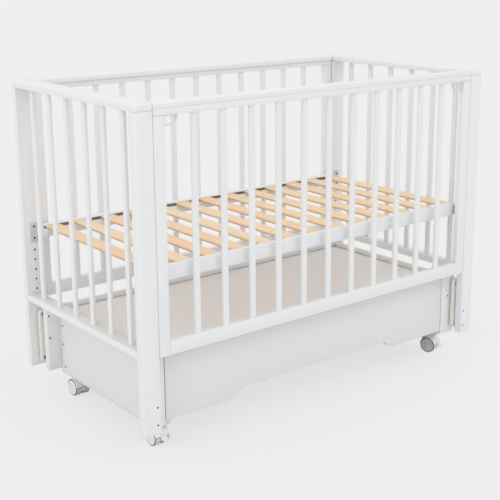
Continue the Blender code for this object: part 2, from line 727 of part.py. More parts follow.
def build_base_box():
    """Three boards and a front stretcher; the thin lid sits in grooves below their tops."""
    for where, sign in SIDES_X:
        name = "base_end_panel_" + where
        shape = mirrored_block(
            sign, 1, (PANEL_INNER_X, -BOX_OUTER_Y, BASE_FOOT), (PANEL_OUTER_X, BOX_OUTER_Y, BOX_TOP),
        )
        panel = add_object(name, to_mesh(shape, name), BOARD)
        edge = sorted((sign * (PANEL_INNER_X - OVERRUN), sign * (PANEL_INNER_X + GROOVE_DEEP)))
        groove = lid_groove((edge[0], -BOX_OUTER_Y - OVERRUN), (edge[1], BOX_OUTER_Y + OVERRUN))
        boolean(panel, groove, "DIFFERENCE", name + "_groove")
    between = PANEL_INNER_X - SEAT_GAP
    inner_y = BOX_OUTER_Y - PANEL_THICK
    back = add_object("base_back_panel", to_mesh(
        block((-between, inner_y, BASE_FOOT), (between, BOX_OUTER_Y, BOX_TOP)), "base_back_panel"), BOARD)
    groove = lid_groove((-between - OVERRUN, inner_y - OVERRUN), (between + OVERRUN, inner_y + GROOVE_DEEP))
    boolean(back, groove, "DIFFERENCE", "base_back_groove")
    stretcher = add_object("base_front_stretcher", to_mesh(block(
        (-between, -BOX_OUTER_Y, BOX_TOP - STRETCHER_TALL), (between, -inner_y, BOX_TOP)),
        "base_front_stretcher"), BOARD)
    groove = lid_groove((-between - OVERRUN, -inner_y - GROOVE_DEEP), (between + OVERRUN, -inner_y + OVERRUN))
    boolean(stretcher, groove, "DIFFERENCE", "base_stretcher_groove")
    lid_x = PANEL_INNER_X + GROOVE_DEEP - SEAT_GAP
    lid_y = inner_y + GROOVE_DEEP - SEAT_GAP
    lid_top = BOX_TOP - LID_DOWN
    lid = block((-lid_x, -lid_y, lid_top - LID_THICK), (lid_x, lid_y, lid_top))
    add_object("base_lid", to_mesh(lid, "base_lid"), HARDBOARD)


def stem_hole(sign_x, sign_y):
    radius = (STEM_RADIUS + BOLT_PLAY) / math.cos(math.pi / TURN_STEPS)
    top = BASE_FOOT + STEM_RISE + SEAT_GAP
    x = sign_x * CASTER_X
    y = sign_y * CASTER_Y
    return rod((x, y, BASE_FOOT - OVERRUN), (x, y, top), radius)


def build_caster_rail(name, sign_x):
    """Wooden cleat along the foot of an end panel: it takes the caster stems and the drawer slides on it."""
    shape = mirrored_block(
        sign_x, 1,
        (PANEL_INNER_X - SEAT_GAP - CLEAT_WIDE, -BOX_OUTER_Y, BASE_FOOT),
        (PANEL_INNER_X - SEAT_GAP, BOX_OUTER_Y - PANEL_THICK - SEAT_GAP, CLEAT_TOP),
    )
    rail = add_object(name, to_mesh(shape, name), LACQUER)
    holes = stem_hole(sign_x, -1)
    merge(holes, stem_hole(sign_x, 1))
    boolean(rail, holes, "DIFFERENCE", name + "_stem_holes")


def ramp(across):
    """Height of the drawer front's lower edge: raised in the middle, with a soft S at each side."""
    distance = abs(across) - HAND_GAP_HALF
    share = min(max(distance / HAND_GAP_RAMP, 0), 1)
    return DRAWER_FRONT_FOOT + HAND_GAP_RISE * (1 + math.cos(math.pi * share)) / 2


def build_drawer(drawer):
    half = UPRIGHT_INNER_X - DRAWER_GAP
    top = BASE_TOP - DRAWER_FRONT_DROP
    outline = [(half, DRAWER_FRONT_FOOT), (half, top), (-half, top), (-half, DRAWER_FRONT_FOOT)]
    for index in range(RAMP_STEPS + 1):
        across = -HAND_GAP_HALF - HAND_GAP_RAMP * (1 - index / RAMP_STEPS)
        outline.append((across, ramp(across)))
    for index in range(RAMP_STEPS + 1):
        across = HAND_GAP_HALF + HAND_GAP_RAMP * index / RAMP_STEPS
        outline.append((across, ramp(across)))
    shape = outline_plate("drawer_front", [outline], DRAWER_FRONT_THICK, FACING_FRONT)
    front_y = -UPRIGHT_OUTER_Y
    back_of_front = front_y + DRAWER_FRONT_THICK
    bmesh.ops.translate(shape, vec=(0, front_y + DRAWER_FRONT_THICK / 2, 0), verts=shape.verts)
    hang(add_object("drawer_front", to_mesh(shape, "drawer_front"), BOARD), drawer)

    low = CLEAT_TOP + SEAT_GAP
    high = low + DRAWER_SIDE_TALL
    outer = half - DRAWER_SIDE_INSET
    inner = outer - DRAWER_SIDE_THICK
    start = back_of_front + SEAT_GAP
    end = BOX_OUTER_Y - PANEL_THICK - DRAWER_BACK_GAP
    box = add_object("drawer_box", to_mesh(
        block((-outer, start, low), (outer, end, high)), "drawer_box"), BOARD)
    hollow = block((-inner, start - OVERRUN, low - OVERRUN), (inner, end - DRAWER_SIDE_THICK, high + OVERRUN))
    boolean(box, hollow, "DIFFERENCE", "drawer_hollow")
    floor_low = low + DRAWER_BOTTOM_LIFT
    floor_high = floor_low + DRAWER_BOTTOM_THICK
    reach = GROOVE_DEEP
    groove = block(
        (-inner - reach, start - OVERRUN, floor_low - SEAT_GAP),
        (inner + reach, end - DRAWER_SIDE_THICK + reach, floor_high + SEAT_GAP),
    )
    boolean(box, groove, "DIFFERENCE", "drawer_groove")
    hang(box, drawer)
    bottom = block(
        (-inner - reach + SEAT_GAP, start, floor_low),
        (inner + reach - SEAT_GAP, end - DRAWER_SIDE_THICK + reach - SEAT_GAP, floor_high),
    )
    hang(add_object("drawer_bottom", to_mesh(bottom, "drawer_bottom"), HARDBOARD), drawer)


def build_hood(name, swivel, has_brake):
    """Caster hood in the swivel's own axes: the axle lies at -Y, across X."""
    axle = Vector((0, -CASTER_TRAIL, WHEEL_RADIUS))
    tread = WHEEL_RADIUS / math.cos(math.pi / TURN_STEPS)
    pocket = tread + COVER_PLAY
    cover = pocket + COVER_THICK
    half_wide = CASTER_WEB / 2 + WEB_PLAY + WHEEL_THICK
    web = CASTER_WEB / 2
    across = Vector((1, 0, 0))
    top = BASE_FOOT - SWIVEL_GAP
    shell = rod(axle - across * half_wide, axle + across * half_wide, cover)
    piece = add_object(name, to_mesh(shell, name), HOOD_PLASTIC)
    boss = rod((0, 0, WHEEL_RADIUS), (0, 0, top), BOSS_RADIUS)
    boolean(piece, boss, "UNION", name + "_boss")
    pockets = rod(axle + across * web, axle + across * (half_wide + OVERRUN), pocket)
    merge(pockets, rod(axle - across * web, axle - across * (half_wide + OVERRUN), pocket))
    boolean(piece, pockets, "DIFFERENCE", name + "_wheel_pockets")
    reach = cover + OVERRUN
    below = block(
        (-half_wide - OVERRUN, axle.y - reach, -OVERRUN), (-web, axle.y + reach, WHEEL_RADIUS + COVER_LOW),
    )
    merge(below, block((web, axle.y - reach, -OVERRUN),
                       (half_wide + OVERRUN, axle.y + reach, WHEEL_RADIUS + COVER_LOW)))
    boolean(piece, below, "DIFFERENCE", name + "_open_sides")
    foot = block(
        (-web - OVERRUN, axle.y - reach, -OVERRUN), (web + OVERRUN, axle.y + reach, WHEEL_RADIUS - WEB_LOW),
    )
    boolean(piece, foot, "DIFFERENCE", name + "_open_foot")
    bore = (AXLE_RADIUS + BOLT_PLAY) / math.cos(math.pi / TURN_STEPS)
    axle_hole = rod(axle - across * half_wide, axle + across * half_wide, bore)
    boolean(piece, axle_hole, "DIFFERENCE", name + "_axle_hole")
    stem = rod((0, 0, top - EDGE_SOFT), (0, 0, BASE_FOOT + STEM_RISE), STEM_RADIUS)
    boolean(piece, stem, "UNION", name + "_stem")
    if has_brake:
        hinge = pedal_hinge()
        ear_near = PEDAL_WIDE / 2 + SEAT_GAP
        ears = bmesh.new()
        for sign in (-1, 1):
            xs = sorted((sign * ear_near, sign * (ear_near + EAR_THICK)))
            ear = block(
                (xs[0], hinge.y - PEDAL_PIN_RADIUS, hinge.z - PEDAL_PIN_RADIUS),
                (xs[1], hinge.y + PEDAL_PIN_RADIUS + COVER_THICK, hinge.z + PEDAL_PIN_RADIUS),
            )
            merge(ears, ear)
        boolean(piece, ears, "UNION", name + "_ears")
    piece.parent = swivel
    return piece


def pedal_hinge():
    """Hinge of the brake pedal in the swivel's axes, just outside the cover's trailing edge."""
    cover = WHEEL_RADIUS / math.cos(math.pi / TURN_STEPS) + COVER_PLAY + COVER_THICK
    lift = PEDAL_HINGE_LIFT + PEDAL_PIN_RADIUS
    back = math.sqrt(cover * cover - lift * lift) + PEDAL_PIN_RADIUS + SEAT_GAP
    return Vector((0, -CASTER_TRAIL - back, WHEEL_RADIUS + lift))


def build_wheels(name, swivel):
    """Two wheels on one axle, turned as one piece; the origin is on the axle."""
    tread = WHEEL_RADIUS / math.cos(math.pi / TURN_STEPS)
    inner = CASTER_WEB / 2 + WEB_PLAY
    outer = inner + WHEEL_THICK
    wheel = [
        (0, outer - HUB_DISH), (HUB_RADIUS - HUB_DISH, outer - HUB_DISH), (HUB_RADIUS, outer),
        (tread - WHEEL_ROUND, outer), (tread, outer - WHEEL_ROUND), (tread, inner),
        (AXLE_RADIUS, inner),
    ]
    profile = wheel + [(radius, -height) for radius, height in reversed(wheel)]
    lay = Matrix.Rotation(math.radians(90), 4, "Y") @ Matrix.Rotation(math.pi / TURN_STEPS, 4, "Z")
    piece = turned(name, profile, WHEEL_PLASTIC, TURN_STEPS)
    piece.parent = swivel
    piece.matrix_local = Matrix.Translation((0, -CASTER_TRAIL, WHEEL_RADIUS)) @ lay


def build_pedal(name, swivel):
    """Brake pedal: a hinge barrel with a tab that slopes down behind the wheels."""
    half = PEDAL_WIDE / 2
    barrel = rod((-half, 0, 0), (half, 0, 0), PEDAL_PIN_RADIUS, BOLT_STEPS)
    piece = add_object(name, to_mesh(barrel, name), HOOD_PLASTIC)
    tab = block((-half, -PEDAL_LONG, -PEDAL_THICK / 2), (half, 0, PEDAL_THICK / 2))
    corners = [edge for edge in edges_along(tab, 2) if edge.verts[0].co.y < -PEDAL_LONG / 2]
    round_edges(tab, corners, PEDAL_CORNER)
    bmesh.ops.rotate(tab, cent=(0, 0, 0), matrix=Matrix.Rotation(PEDAL_TILT, 3, "X"), verts=tab.verts)
    boolean(piece, tab, "UNION", name + "_tab")
    piece.parent = swivel
    piece.location = pedal_hinge()


def build_caster(where_y, sign_y, where_x, sign_x):
    label = where_y + "_" + where_x
    turn = FRONT_RIGHT_SWIVEL if label == "front_right" else 0.0
    swivel = empty("caster_swivel_" + label, (sign_x * CASTER_X, sign_y * CASTER_Y, 0.0), turn)
    has_brake = where_y == "front"
    build_hood("caster_hood_" + label, swivel, has_brake)
    build_wheels("caster_wheels_" + label, swivel)
    if has_brake:
        build_pedal("brake_pedal_" + label, swivel)


def build_all():
    crib = empty("crib_hang", (-PIVOT_X, -ARM_OUTER_Y, PIVOT_LOW))
    drop = empty("front_side_slide", (0.0, -SIDE_OUTER_Y, SIDE_FOOT))
    drawer = empty("drawer_slide", (0.0, -UPRIGHT_OUTER_Y, CLEAT_TOP))
    for where_y, sign_y in SIDES_Y:
        for where_x, sign_x in SIDES_X:
            corner = where_y + "_" + where_x
            build_post("post_" + corner, sign_x, sign_y, crib)
            build_bracket("bed_bracket_" + corner, sign_x, sign_y, crib)
            build_arm("arm_" + corner, sign_x, sign_y)
            build_upper_bolt("upper_pivot_bolt_" + corner, sign_x, sign_y)
            build_lower_bolt("lower_pivot_bolt_" + corner, sign_x, sign_y, crib)
            build_upright("upright_" + corner, sign_x, sign_y)
            build_caster(where_y, sign_y, where_x, sign_x)
    for where_x, sign_x in SIDES_X:
        build_end_rail("end_top_rail_" + where_x, sign_x, crib)
        build_end_lattice("end_lattice_" + where_x, sign_x, crib)
        build_caster_rail("caster_rail_" + where_x, sign_x)
        catch = empty("catch_slide_" + where_x, (sign_x * STILE_INNER_X, -SIDE_OUTER_Y, TOP_RAIL_LOW))
        build_catch("catch_" + where_x, sign_x, catch)
    for where_y, sign_y in SIDES_Y:
        marker = drop if where_y == "front" else crib
        build_side_frame(where_y + "_side_frame", sign_y, marker)
        build_top_rail(where_y + "_top_rail", sign_y, marker)
    build_bed(crib)
    build_base_box()
    build_drawer(drawer)


build_all()
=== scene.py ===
import math

import bmesh
import bpy
from mathutils import Matrix, Vector


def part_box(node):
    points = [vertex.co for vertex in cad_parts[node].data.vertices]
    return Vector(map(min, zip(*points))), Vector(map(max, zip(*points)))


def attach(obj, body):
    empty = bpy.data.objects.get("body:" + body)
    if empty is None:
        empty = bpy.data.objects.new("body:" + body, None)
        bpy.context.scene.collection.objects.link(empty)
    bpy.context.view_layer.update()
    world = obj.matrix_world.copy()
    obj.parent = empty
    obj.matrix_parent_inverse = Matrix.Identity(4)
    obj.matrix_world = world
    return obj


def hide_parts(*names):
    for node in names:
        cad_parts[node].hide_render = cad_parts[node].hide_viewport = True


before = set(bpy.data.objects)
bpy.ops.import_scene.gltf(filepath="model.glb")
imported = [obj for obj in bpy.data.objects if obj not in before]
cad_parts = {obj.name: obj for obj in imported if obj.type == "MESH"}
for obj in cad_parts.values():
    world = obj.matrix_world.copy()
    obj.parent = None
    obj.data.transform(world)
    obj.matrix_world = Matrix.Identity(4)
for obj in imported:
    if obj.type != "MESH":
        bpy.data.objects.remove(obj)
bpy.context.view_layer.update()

# Pendulum crib: a slatted crib that hangs on four short arms from a drawer base on casters.
# The sections follow the crib as it is put together, from the casters' rails up to the drop side and the drawer.
# +X runs along the crib and -Y is the side with the drawer and the drop side.

# The studio: a pale floor without an edge, light from all round, a soft key from the front and a softer
# one from the left, and the camera at the photograph's angle.
PAPER = (0.871, 0.871, 0.871, 1.0)
PAPER_LIT = (0.82, 0.815, 0.815, 1.0)
PAPER_GLOW = 0.79
FLOOR_REACH = 400.0
ROUND_LIGHT = 0.89
ROUND_WHITE = (1.0, 1.0, 1.0, 1.0)
LAMPS = (  # name, where it shines from, strength, width in degrees
    ("front_lamp", (0.15, -0.63, 0.76), 0.32, 30.0),
    ("left_lamp", (-0.95, -0.15, 0.40), 0.38, 60.0),
)
CAMERA_PLACE = (-1.9273, -2.4422, 1.2808)
CAMERA_TURN = (math.pi / 2 - 0.2483, 0.0, -0.6896)
CAMERA_LENS = 74.84
CAMERA_SHIFT = -0.06


class Wire:
    """One socket of a node tree: sums on it add Math nodes, and node() adds any other kind."""

    def __init__(self, socket):
        self.socket = socket

    def node(self, kind, settings, inputs, output=0):
        tree = self.socket.id_data
        added = tree.nodes.new(kind)
        for key, value in settings.items():
            setattr(added, key, value)
        for key, value in inputs.items():
            if isinstance(value, Wire):
                tree.links.new(value.socket, added.inputs[key])
            else:
                added.inputs[key].default_value = value
        return Wire(added.outputs[output])

    def math(self, operation, first, second=0.0):
        return self.node("ShaderNodeMath", {"operation": operation}, {0: first, 1: second})

    def __add__(self, other):
        return self.math("ADD", self, other)

    __radd__ = __add__

    def __mul__(self, other):
        return self.math("MULTIPLY", self, other)

    __rmul__ = __mul__

    def __sub__(self, other):
        return self.math("SUBTRACT", self, other)

    def __rsub__(self, other):
        return self.math("SUBTRACT", other, self)

    def noise(self, scale, detail=3.0, **more):
        """Clouds or streaks of 0 to 1, over this wire's places."""
        inputs = {"Vector": self, "Scale": scale, "Detail": detail, **more}
        return self.node("ShaderNodeTexNoise", {"noise_dimensions": "4D" if "W" in more else "3D"}, inputs)

    def stretched(self, along, share):
        """The same places drawn out along one axis, for grain."""
        scale = [1.0, 1.0, 1.0]
        scale[along] = share
        return self.node("ShaderNodeMapping", {}, {"Vector": self, "Scale": scale})

    def between(self, first, second):
        """A colour from first at 0 to second at 1."""
        colours = {0: self, 6: (*first, 1.0), 7: (*second, 1.0)}
        return self.node("ShaderNodeMix", {"data_type": "RGBA"}, colours, output=2)

    def bump(self, strength, depth):
        return self.node("ShaderNodeBump", {}, {"Strength": strength, "Distance": depth, "Height": self})


bpy.ops.object.select_all(action="DESELECT")
bpy.ops.mesh.primitive_plane_add(size=FLOOR_REACH)
floor = bpy.context.object
floor.name = "floor"
paper = bpy.data.materials.new("pale_paper")
paper.use_nodes = True
backing = paper.node_tree
backing.nodes.clear()
to_camera = Wire(backing.nodes.new("ShaderNodeLightPath").outputs["Is Camera Ray"])
matt = to_camera.node("ShaderNodeBsdfDiffuse", {}, {"Color": PAPER_LIT})
glow = to_camera.node("ShaderNodeEmission", {}, {"Color": PAPER})
shown = to_camera.node("ShaderNodeMixShader", {}, {0: to_camera * PAPER_GLOW, 1: matt, 2: glow})
backing.links.new(shown.socket, backing.nodes.new("ShaderNodeOutputMaterial").inputs["Surface"])
floor.data.materials.append(paper)

world = bpy.data.worlds.new("studio")
bpy.context.scene.world = world
world.use_nodes = True
studio = world.node_tree
studio.nodes.clear()
ray = studio.nodes.new("ShaderNodeLightPath")
to_camera = Wire(ray.outputs["Is Camera Ray"])
in_gloss = Wire(ray.outputs["Is Glossy Ray"])
lit = to_camera.node("ShaderNodeBackground", {}, {"Color": ROUND_WHITE, "Strength": ROUND_LIGHT})
seen = to_camera.node("ShaderNodeBackground", {}, {"Color": PAPER})
any_seen = to_camera.math("MAXIMUM", to_camera, in_gloss)
shown = to_camera.node("ShaderNodeMixShader", {}, {0: any_seen, 1: lit, 2: seen})
studio.links.new(shown.socket, studio.nodes.new("ShaderNodeOutputWorld").inputs["Surface"])

for name, towards, strength, spread in LAMPS:
    lamp = bpy.data.lights.new(name, "SUN")
    lamp.energy = strength
    lamp.angle = math.radians(spread)
    holder = bpy.data.objects.new(name, lamp)
    holder.rotation_euler = Vector(towards).to_track_quat("Z", "Y").to_euler()
    bpy.context.scene.collection.objects.link(holder)

camera = bpy.data.objects.new("camera", bpy.data.cameras.new("camera"))
camera.location = CAMERA_PLACE
camera.rotation_euler = CAMERA_TURN
camera.data.lens = CAMERA_LENS
camera.data.shift_x = CAMERA_SHIFT
camera.data.shift_y = CAMERA_SHIFT
bpy.context.scene.collection.objects.link(camera)
bpy.context.scene.camera = camera
bpy.context.scene.view_settings.view_transform = "Standard"

# The casters' rails: two solid cleats screwed along the foot of the base's end panels. Each takes the stems
# of two casters and carries the drawer. The right one is a dark grey-green, painted shade for the shade under
# the drawer front; the left one, out of sight, is white.
RAIL_SOFT = 0.0015
STEM_BORE = 0.0049
STEM_DEEP = 0.0143
CASTER_OUT_X = 0.538
CASTER_OUT_Y = 0.2157
LACQUER_LOW = (0.815, 0.828, 0.836)
LACQUER_HIGH = (0.860, 0.871, 0.878)
HOLLOW_SHADE_COLOUR = (0.10, 0.085, 0.07, 1.0)
RAIL_SHADE_LOW = (0.44, 0.45, 0.42)
RAIL_SHADE_HIGH = (0.54, 0.55, 0.51)
SHARP_OVER = math.radians(50)
SMOOTH_UNDER = math.radians(32)


def new_finish(name, slot, **numbers):
    """A material, with its shader, a wire of Object places, and the numbers that are the same all over."""
    finish = bpy.data.materials.new(name)
    finish.use_nodes = True
    finish["slot"] = slot
    shader = finish.node_tree.nodes["Principled BSDF"]
    for key, value in numbers.items():
        shader.inputs[key.replace("_", " ")].default_value = value
    place = Wire(finish.node_tree.nodes.new("ShaderNodeTexCoord").outputs["Object"])
    return finish, shader, place


def feed(shader, **wires):
    for key, wire in wires.items():
        shader.id_data.links.new(wire.socket, shader.inputs[key.replace("_", " ")])


def white_lacquer(name, along):
    """Sprayed satin lacquer on solid wood: the grain just shows along the piece."""
    finish, shader, place = new_finish(name, "white_lacquer", Coat_Weight=0.15, Coat_Roughness=0.2)
    grain = place.stretched(along, 0.04).noise(480.0, 4.0)
    cloud = place.noise(9.0)
    feed(
        shader,
        Base_Color=(0.55 * cloud + 0.45 * grain).between(LACQUER_LOW, LACQUER_HIGH),
        Roughness=0.30 + 0.16 * cloud,
        Normal=(grain + 0.3 * place.noise(900.0)).bump(0.10, 0.0003),
    )
    return finish


LACQUER = [white_lacquer("satin_white_along_" + word, along) for along, word in enumerate("xyz")]
# Holes, sockets and grooves are lined near-black: painted shade in the hollows.
HOLLOW_SHADE = new_finish("hollow_painted_shade", "white_lacquer", Base_Color=HOLLOW_SHADE_COLOUR, Roughness=0.8)[0]
# The right rail's darker grey-green is painted shade.
RAIL_SHADE, rail_shade_shader, rail_shade_place = new_finish("grey_green_painted_shade", "white_lacquer")
rail_shade_grain = rail_shade_place.stretched(1, 0.04).noise(480.0, 4.0)
feed(
    rail_shade_shader,
    Base_Color=rail_shade_grain.between(RAIL_SHADE_LOW, RAIL_SHADE_HIGH),
    Roughness=0.55 + 0.20 * rail_shade_grain,
    Normal=rail_shade_grain.bump(0.20, 0.0003),
)


def select_only(*pieces):
    bpy.ops.object.select_all(action="DESELECT")
    for piece in pieces:
        piece.select_set(True)
    bpy.context.view_layer.objects.active = pieces[0]


def fix_place(piece):
    """Moves a piece's place, turn and size into its mesh."""
    select_only(piece)
    bpy.ops.object.transform_apply(location=True, rotation=True, scale=True)


def settle(piece, name, finish):
    """Names a new primitive, fixes its place and gives it its finish."""
    piece.name = name
    piece.data.name = name
    fix_place(piece)
    piece.data.materials.append(finish)
    return piece


def add_board(name, low, high, finish):
    """A board or bar between two corners."""
    bpy.ops.object.select_all(action="DESELECT")
    low = Vector(low)
    high = Vector(high)
    bpy.ops.mesh.primitive_cube_add(size=1.0, location=(low + high) / 2)
    bpy.context.object.scale = high - low
    return settle(bpy.context.object, name, finish)


def add_rod(name, start, end, radius, finish, around=40):
    """A round bar between two points."""
    bpy.ops.object.select_all(action="DESELECT")
    start = Vector(start)
    run = Vector(end) - start
    bpy.ops.mesh.primitive_cylinder_add(
        vertices=around, radius=radius, depth=run.length,
        location=start + run / 2, rotation=run.to_track_quat("Z", "Y").to_euler(),
    )
    return settle(bpy.context.object, name, finish)


def pick(piece, kind, wanted=lambda item: True):
    """Opens a piece for editing with only the wanted corners, edges or faces selected, or else all of them."""
    select_only(piece)
    bpy.ops.object.mode_set(mode="EDIT")
    bpy.ops.mesh.select_mode(type=kind)
    bpy.ops.mesh.select_all(action="DESELECT")
    shape = bmesh.from_edit_mesh(piece.data)
    for item in {"VERT": shape.verts, "EDGE": shape.edges, "FACE": shape.faces}[kind]:
        item.select_set(bool(wanted(item)))
    shape.select_flush_mode()
    bmesh.update_edit_mesh(piece.data)


def close():
    bpy.ops.object.mode_set(mode="OBJECT")


def sharp(edge):
    return edge.is_manifold and edge.calc_face_angle(0.0) > SHARP_OVER


def round_over(piece, radius, steps, wanted=sharp):
    """Rounds the wanted edges, or else every sharp edge."""
    pick(piece, "EDGE", wanted)
    bpy.ops.mesh.bevel(offset=radius, segments=steps, affect="EDGES", clamp_overlap=True)
    close()


def combine(piece, other, operation="DIFFERENCE"):
    """Cuts another form out of a piece, or joins it on, and uses the form up."""
    select_only(piece)
    step = piece.modifiers.new(operation.lower(), "BOOLEAN")
    step.operation = operation
    step.solver = "EXACT"
    step.material_mode = "TRANSFER"
    step.object = other
    bpy.ops.object.modifier_apply(modifier=step.name)
    bpy.data.objects.remove(other, do_unlink=True)


# Cuts a hole, lined with the near-black painted shade.
def bore(piece, start, end, radius):
    combine(piece, add_rod("bore", start, end, radius, HOLLOW_SHADE))


def mirror_copy(piece, name, sign_x, sign_y):
    """A copy with its own mesh, mirrored across the crib's middle where a sign is -1."""
    twin = piece.copy()
    twin.data = piece.data.copy()
    twin.name = name
    twin.data.name = name
    bpy.context.scene.collection.objects.link(twin)
    twin.scale = (sign_x, sign_y, 1.0)
    fix_place(twin)
    pick(twin, "FACE")
    bpy.ops.mesh.normals_make_consistent(inside=False)
    close()
    return twin


def fit(piece, body, *nodes):
    """Smooths a piece and sets it on its body, in place of its CAD nodes."""
    select_only(piece)
    bpy.ops.object.shade_smooth_by_angle(angle=SMOOTH_UNDER)
    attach(piece, body)
    if nodes:
        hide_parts(*nodes)


rail = add_board("right_caster_rail", *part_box("caster_rail_right"), RAIL_SHADE)
round_over(rail, RAIL_SOFT, 3)
rail_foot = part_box("caster_rail_right")[0].z
for sign in (-1, 1):
    bore(
        rail, (CASTER_OUT_X, sign * CASTER_OUT_Y, rail_foot - STEM_DEEP),
        (CASTER_OUT_X, sign * CASTER_OUT_Y, rail_foot + STEM_DEEP), STEM_BORE,
    )
left_rail = mirror_copy(rail, "left_caster_rail", -1, 1)
left_rail.data.materials[0] = LACQUER[1]
fit(left_rail, "base", "caster_rail_left")
fit(rail, "base", "caster_rail_right")

# The base's boards: two end panels, a back panel and a front stretcher of white coated board, edge-banded
# and screwed together. A groove inside, a little below their tops, takes the edge of the lid.
BOARD_SOFT = 0.0009
GROOVE_DEEP = 0.005
GROOVE_PLAY = 0.0003
GROOVE_SHOWS = 0.0012
PANEL_SCREWS = ((0.240, 0.209), (0.239, 0.150), (0.233, 0.080))
SCREW_RADIUS = 0.0030
SCREW_PLAY = 0.0003
SCREW_SUNK = 0.0009
SCREW_BORE_DEEP = 0.0035
SCREW_SOFT_SHARE = 0.15
SOCKET_RADIUS = 0.0016
SOCKET_DEEP_SHARE = 0.7
BOARD_LOW = (0.785, 0.788, 0.782)
BOARD_HIGH = (0.815, 0.817, 0.812)


def white_board(name, along):
    """Coated board: even and smooth, with the fine skin of a melamine foil."""
    finish, shader, place = new_finish(name, "white_board", Specular_IOR_Level=0.45)
    cloud = place.noise(5.0)
    skin = place.stretched(along, 0.5).noise(1400.0, 2.0)
    feed(
        shader,
        Base_Color=(0.7 * cloud + 0.3 * skin).between(BOARD_LOW, BOARD_HIGH),
        Roughness=0.38 + 0.12 * cloud,
        Normal=skin.bump(0.08, 0.0002),
    )
    return finish


BOARD = [white_board("coated_board_along_x", 0), white_board("coated_board_along_y", 1)]


def plated_steel(name, slot, dark, light, roughness, metallic):
    """Zinc-plated or blackened steel with fine speckles and brush marks."""
    finish, shader, place = new_finish(name, slot, Metallic=metallic)
    stain = place.noise(160.0, 4.0)
    speckle = 2.6 * place.noise(430.0, 2.0) - 0.8
    fine = place.stretched(2, 0.15).noise(2400.0, 2.0)
    feed(
        shader,
        Base_Color=(0.8 * speckle + 0.2 * fine).between(dark, light),
        Roughness=roughness + 0.18 * stain,
        Normal=fine.bump(0.12, 0.0001),
    )
    return finish


ZINC = plated_steel("zinc_plate", "zinc_plated_steel", (0.40, 0.40, 0.41), (0.93, 0.93, 0.94), 0.42, 0.4)
BLACK_STEEL = plated_steel("blackened_steel", "dark_steel", (0.045, 0.045, 0.048), (0.11, 0.11, 0.11), 0.34, 0.9)


def socket_screw(name, place, outward, radius):
    """Head of a blackened screw with a six-sided socket, seen from outward."""
    place = Vector(place)
    outward = Vector(outward)
    head = add_rod(name, place - outward * radius, place, radius, BLACK_STEEL, 28)
    round_over(head, radius * SCREW_SOFT_SHARE, 2)
    socket_start = place - outward * radius * SOCKET_DEEP_SHARE
    combine(head, add_rod("socket", socket_start, place + outward * radius, SOCKET_RADIUS, HOLLOW_SHADE, 6))
    return head


panel_low, panel_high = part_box("base_end_panel_right")
back_low, back_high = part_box("base_back_panel")
front_low, front_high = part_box("base_front_stretcher")
lid_low, lid_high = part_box("base_lid")
groove_low = lid_low - Vector((GROOVE_PLAY, GROOVE_PLAY, GROOVE_PLAY))
groove_high = lid_high + Vector((GROOVE_PLAY, GROOVE_PLAY, GROOVE_SHOWS))

panel = add_board("right_end_panel", panel_low, panel_high, BOARD[1])
round_over(panel, BOARD_SOFT, 2)
groove_ends = Vector((0.0, GROOVE_DEEP, 0.0))
combine(panel, add_board("groove", groove_low - groove_ends * 2, groove_high + groove_ends * 2, HOLLOW_SHADE))
for where, sign in (("front", -1), ("back", 1)):
    for out_y, height in PANEL_SCREWS:
        bore(
            panel, (panel_high.x - SCREW_BORE_DEEP, sign * out_y, height),
            (panel_high.x + SCREW_BORE_DEEP, sign * out_y, height), SCREW_RADIUS + SCREW_PLAY,
        )
        for side, sign_x in (("right", 1), ("left", -1)):
            label = f"{side}_panel_{where}_screw_{round(height * 1000)}"
            face = (sign_x * (panel_high.x - SCREW_SUNK), sign * out_y, height)
            fit(socket_screw(label, face, (sign_x, 0, 0), SCREW_RADIUS), "base")
fit(mirror_copy(panel, "left_end_panel", -1, 1), "base", "base_end_panel_left")
fit(panel, "base", "base_end_panel_right")

for name, low, high, node in (
    ("back_panel", back_low, back_high, "base_back_panel"),
    ("front_stretcher", front_low, front_high, "base_front_stretcher"),
):
    board = add_board(name, low, high, BOARD[0])
    round_over(board, BOARD_SOFT, 2)
    combine(board, add_board("groove", groove_low, groove_high, HOLLOW_SHADE))
    fit(board, "base", node)

# The lid: a thin sheet of white-faced hardboard that closes the drawer's space from above. Its edge lies
# in the groove, so that the panels stand 13 mm higher all round.
LID_LOW = (0.890, 0.888, 0.878)
LID_HIGH = (0.935, 0.933, 0.925)
SHEET_SOFT = 0.0004

HARDBOARD, lid_shader, lid_place = new_finish("painted_hardboard", "white_hardboard")
fibres = lid_place.noise(700.0, 5.0)
patches = lid_place.noise(4.0)
feed(
    lid_shader,
    Base_Color=(0.6 * patches + 0.4 * fibres).between(LID_LOW, LID_HIGH),
    Roughness=0.42 + 0.16 * fibres,
    Normal=fibres.bump(0.15, 0.0003),
)
lid = add_board("lid_sheet", lid_low, lid_high, HARDBOARD)
round_over(lid, SHEET_SOFT, 2)
fit(lid, "base", "base_lid")

# The base's uprights: four short posts of lacquered solid wood, screwed to the corners of the box. Each has
# a bore for the upper pivot bolt, with a small sunk hole inside, and a sunk screw on both faces.
UPRIGHT_ROUND = 0.004
UPRIGHT_SOFT = 0.0012
PIVOT_X = 0.594
PIVOT_HIGH = 0.242
PIVOT_BORE = 0.0045
UPRIGHT_SCREW_HIGH = 0.173
UPRIGHT_FACE_SCREW = (0.570, 0.198)
CORNERS = (("back_right", 1, 1), ("back_left", -1, 1), ("front_right", 1, -1), ("front_left", -1, -1))


def runs_along(edge, axis):
    run = edge.verts[1].co - edge.verts[0].co
    return abs(run[axis]) > 0.99 * run.length


def middle(item):
    return sum((vert.co for vert in item.verts), Vector()) / len(item.verts)


def at_corners(piece, word, body, node=""):
    """Sets mirrored copies of a piece at the four corners; body and node may name the corner."""
    for corner, sign_x, sign_y in CORNERS:
        twin = mirror_copy(piece, f"{corner}_{word}", sign_x, sign_y)
        nodes = [node.format(corner)] if node else []
        fit(twin, body.format(corner), *nodes)
    bpy.data.objects.remove(piece, do_unlink=True)


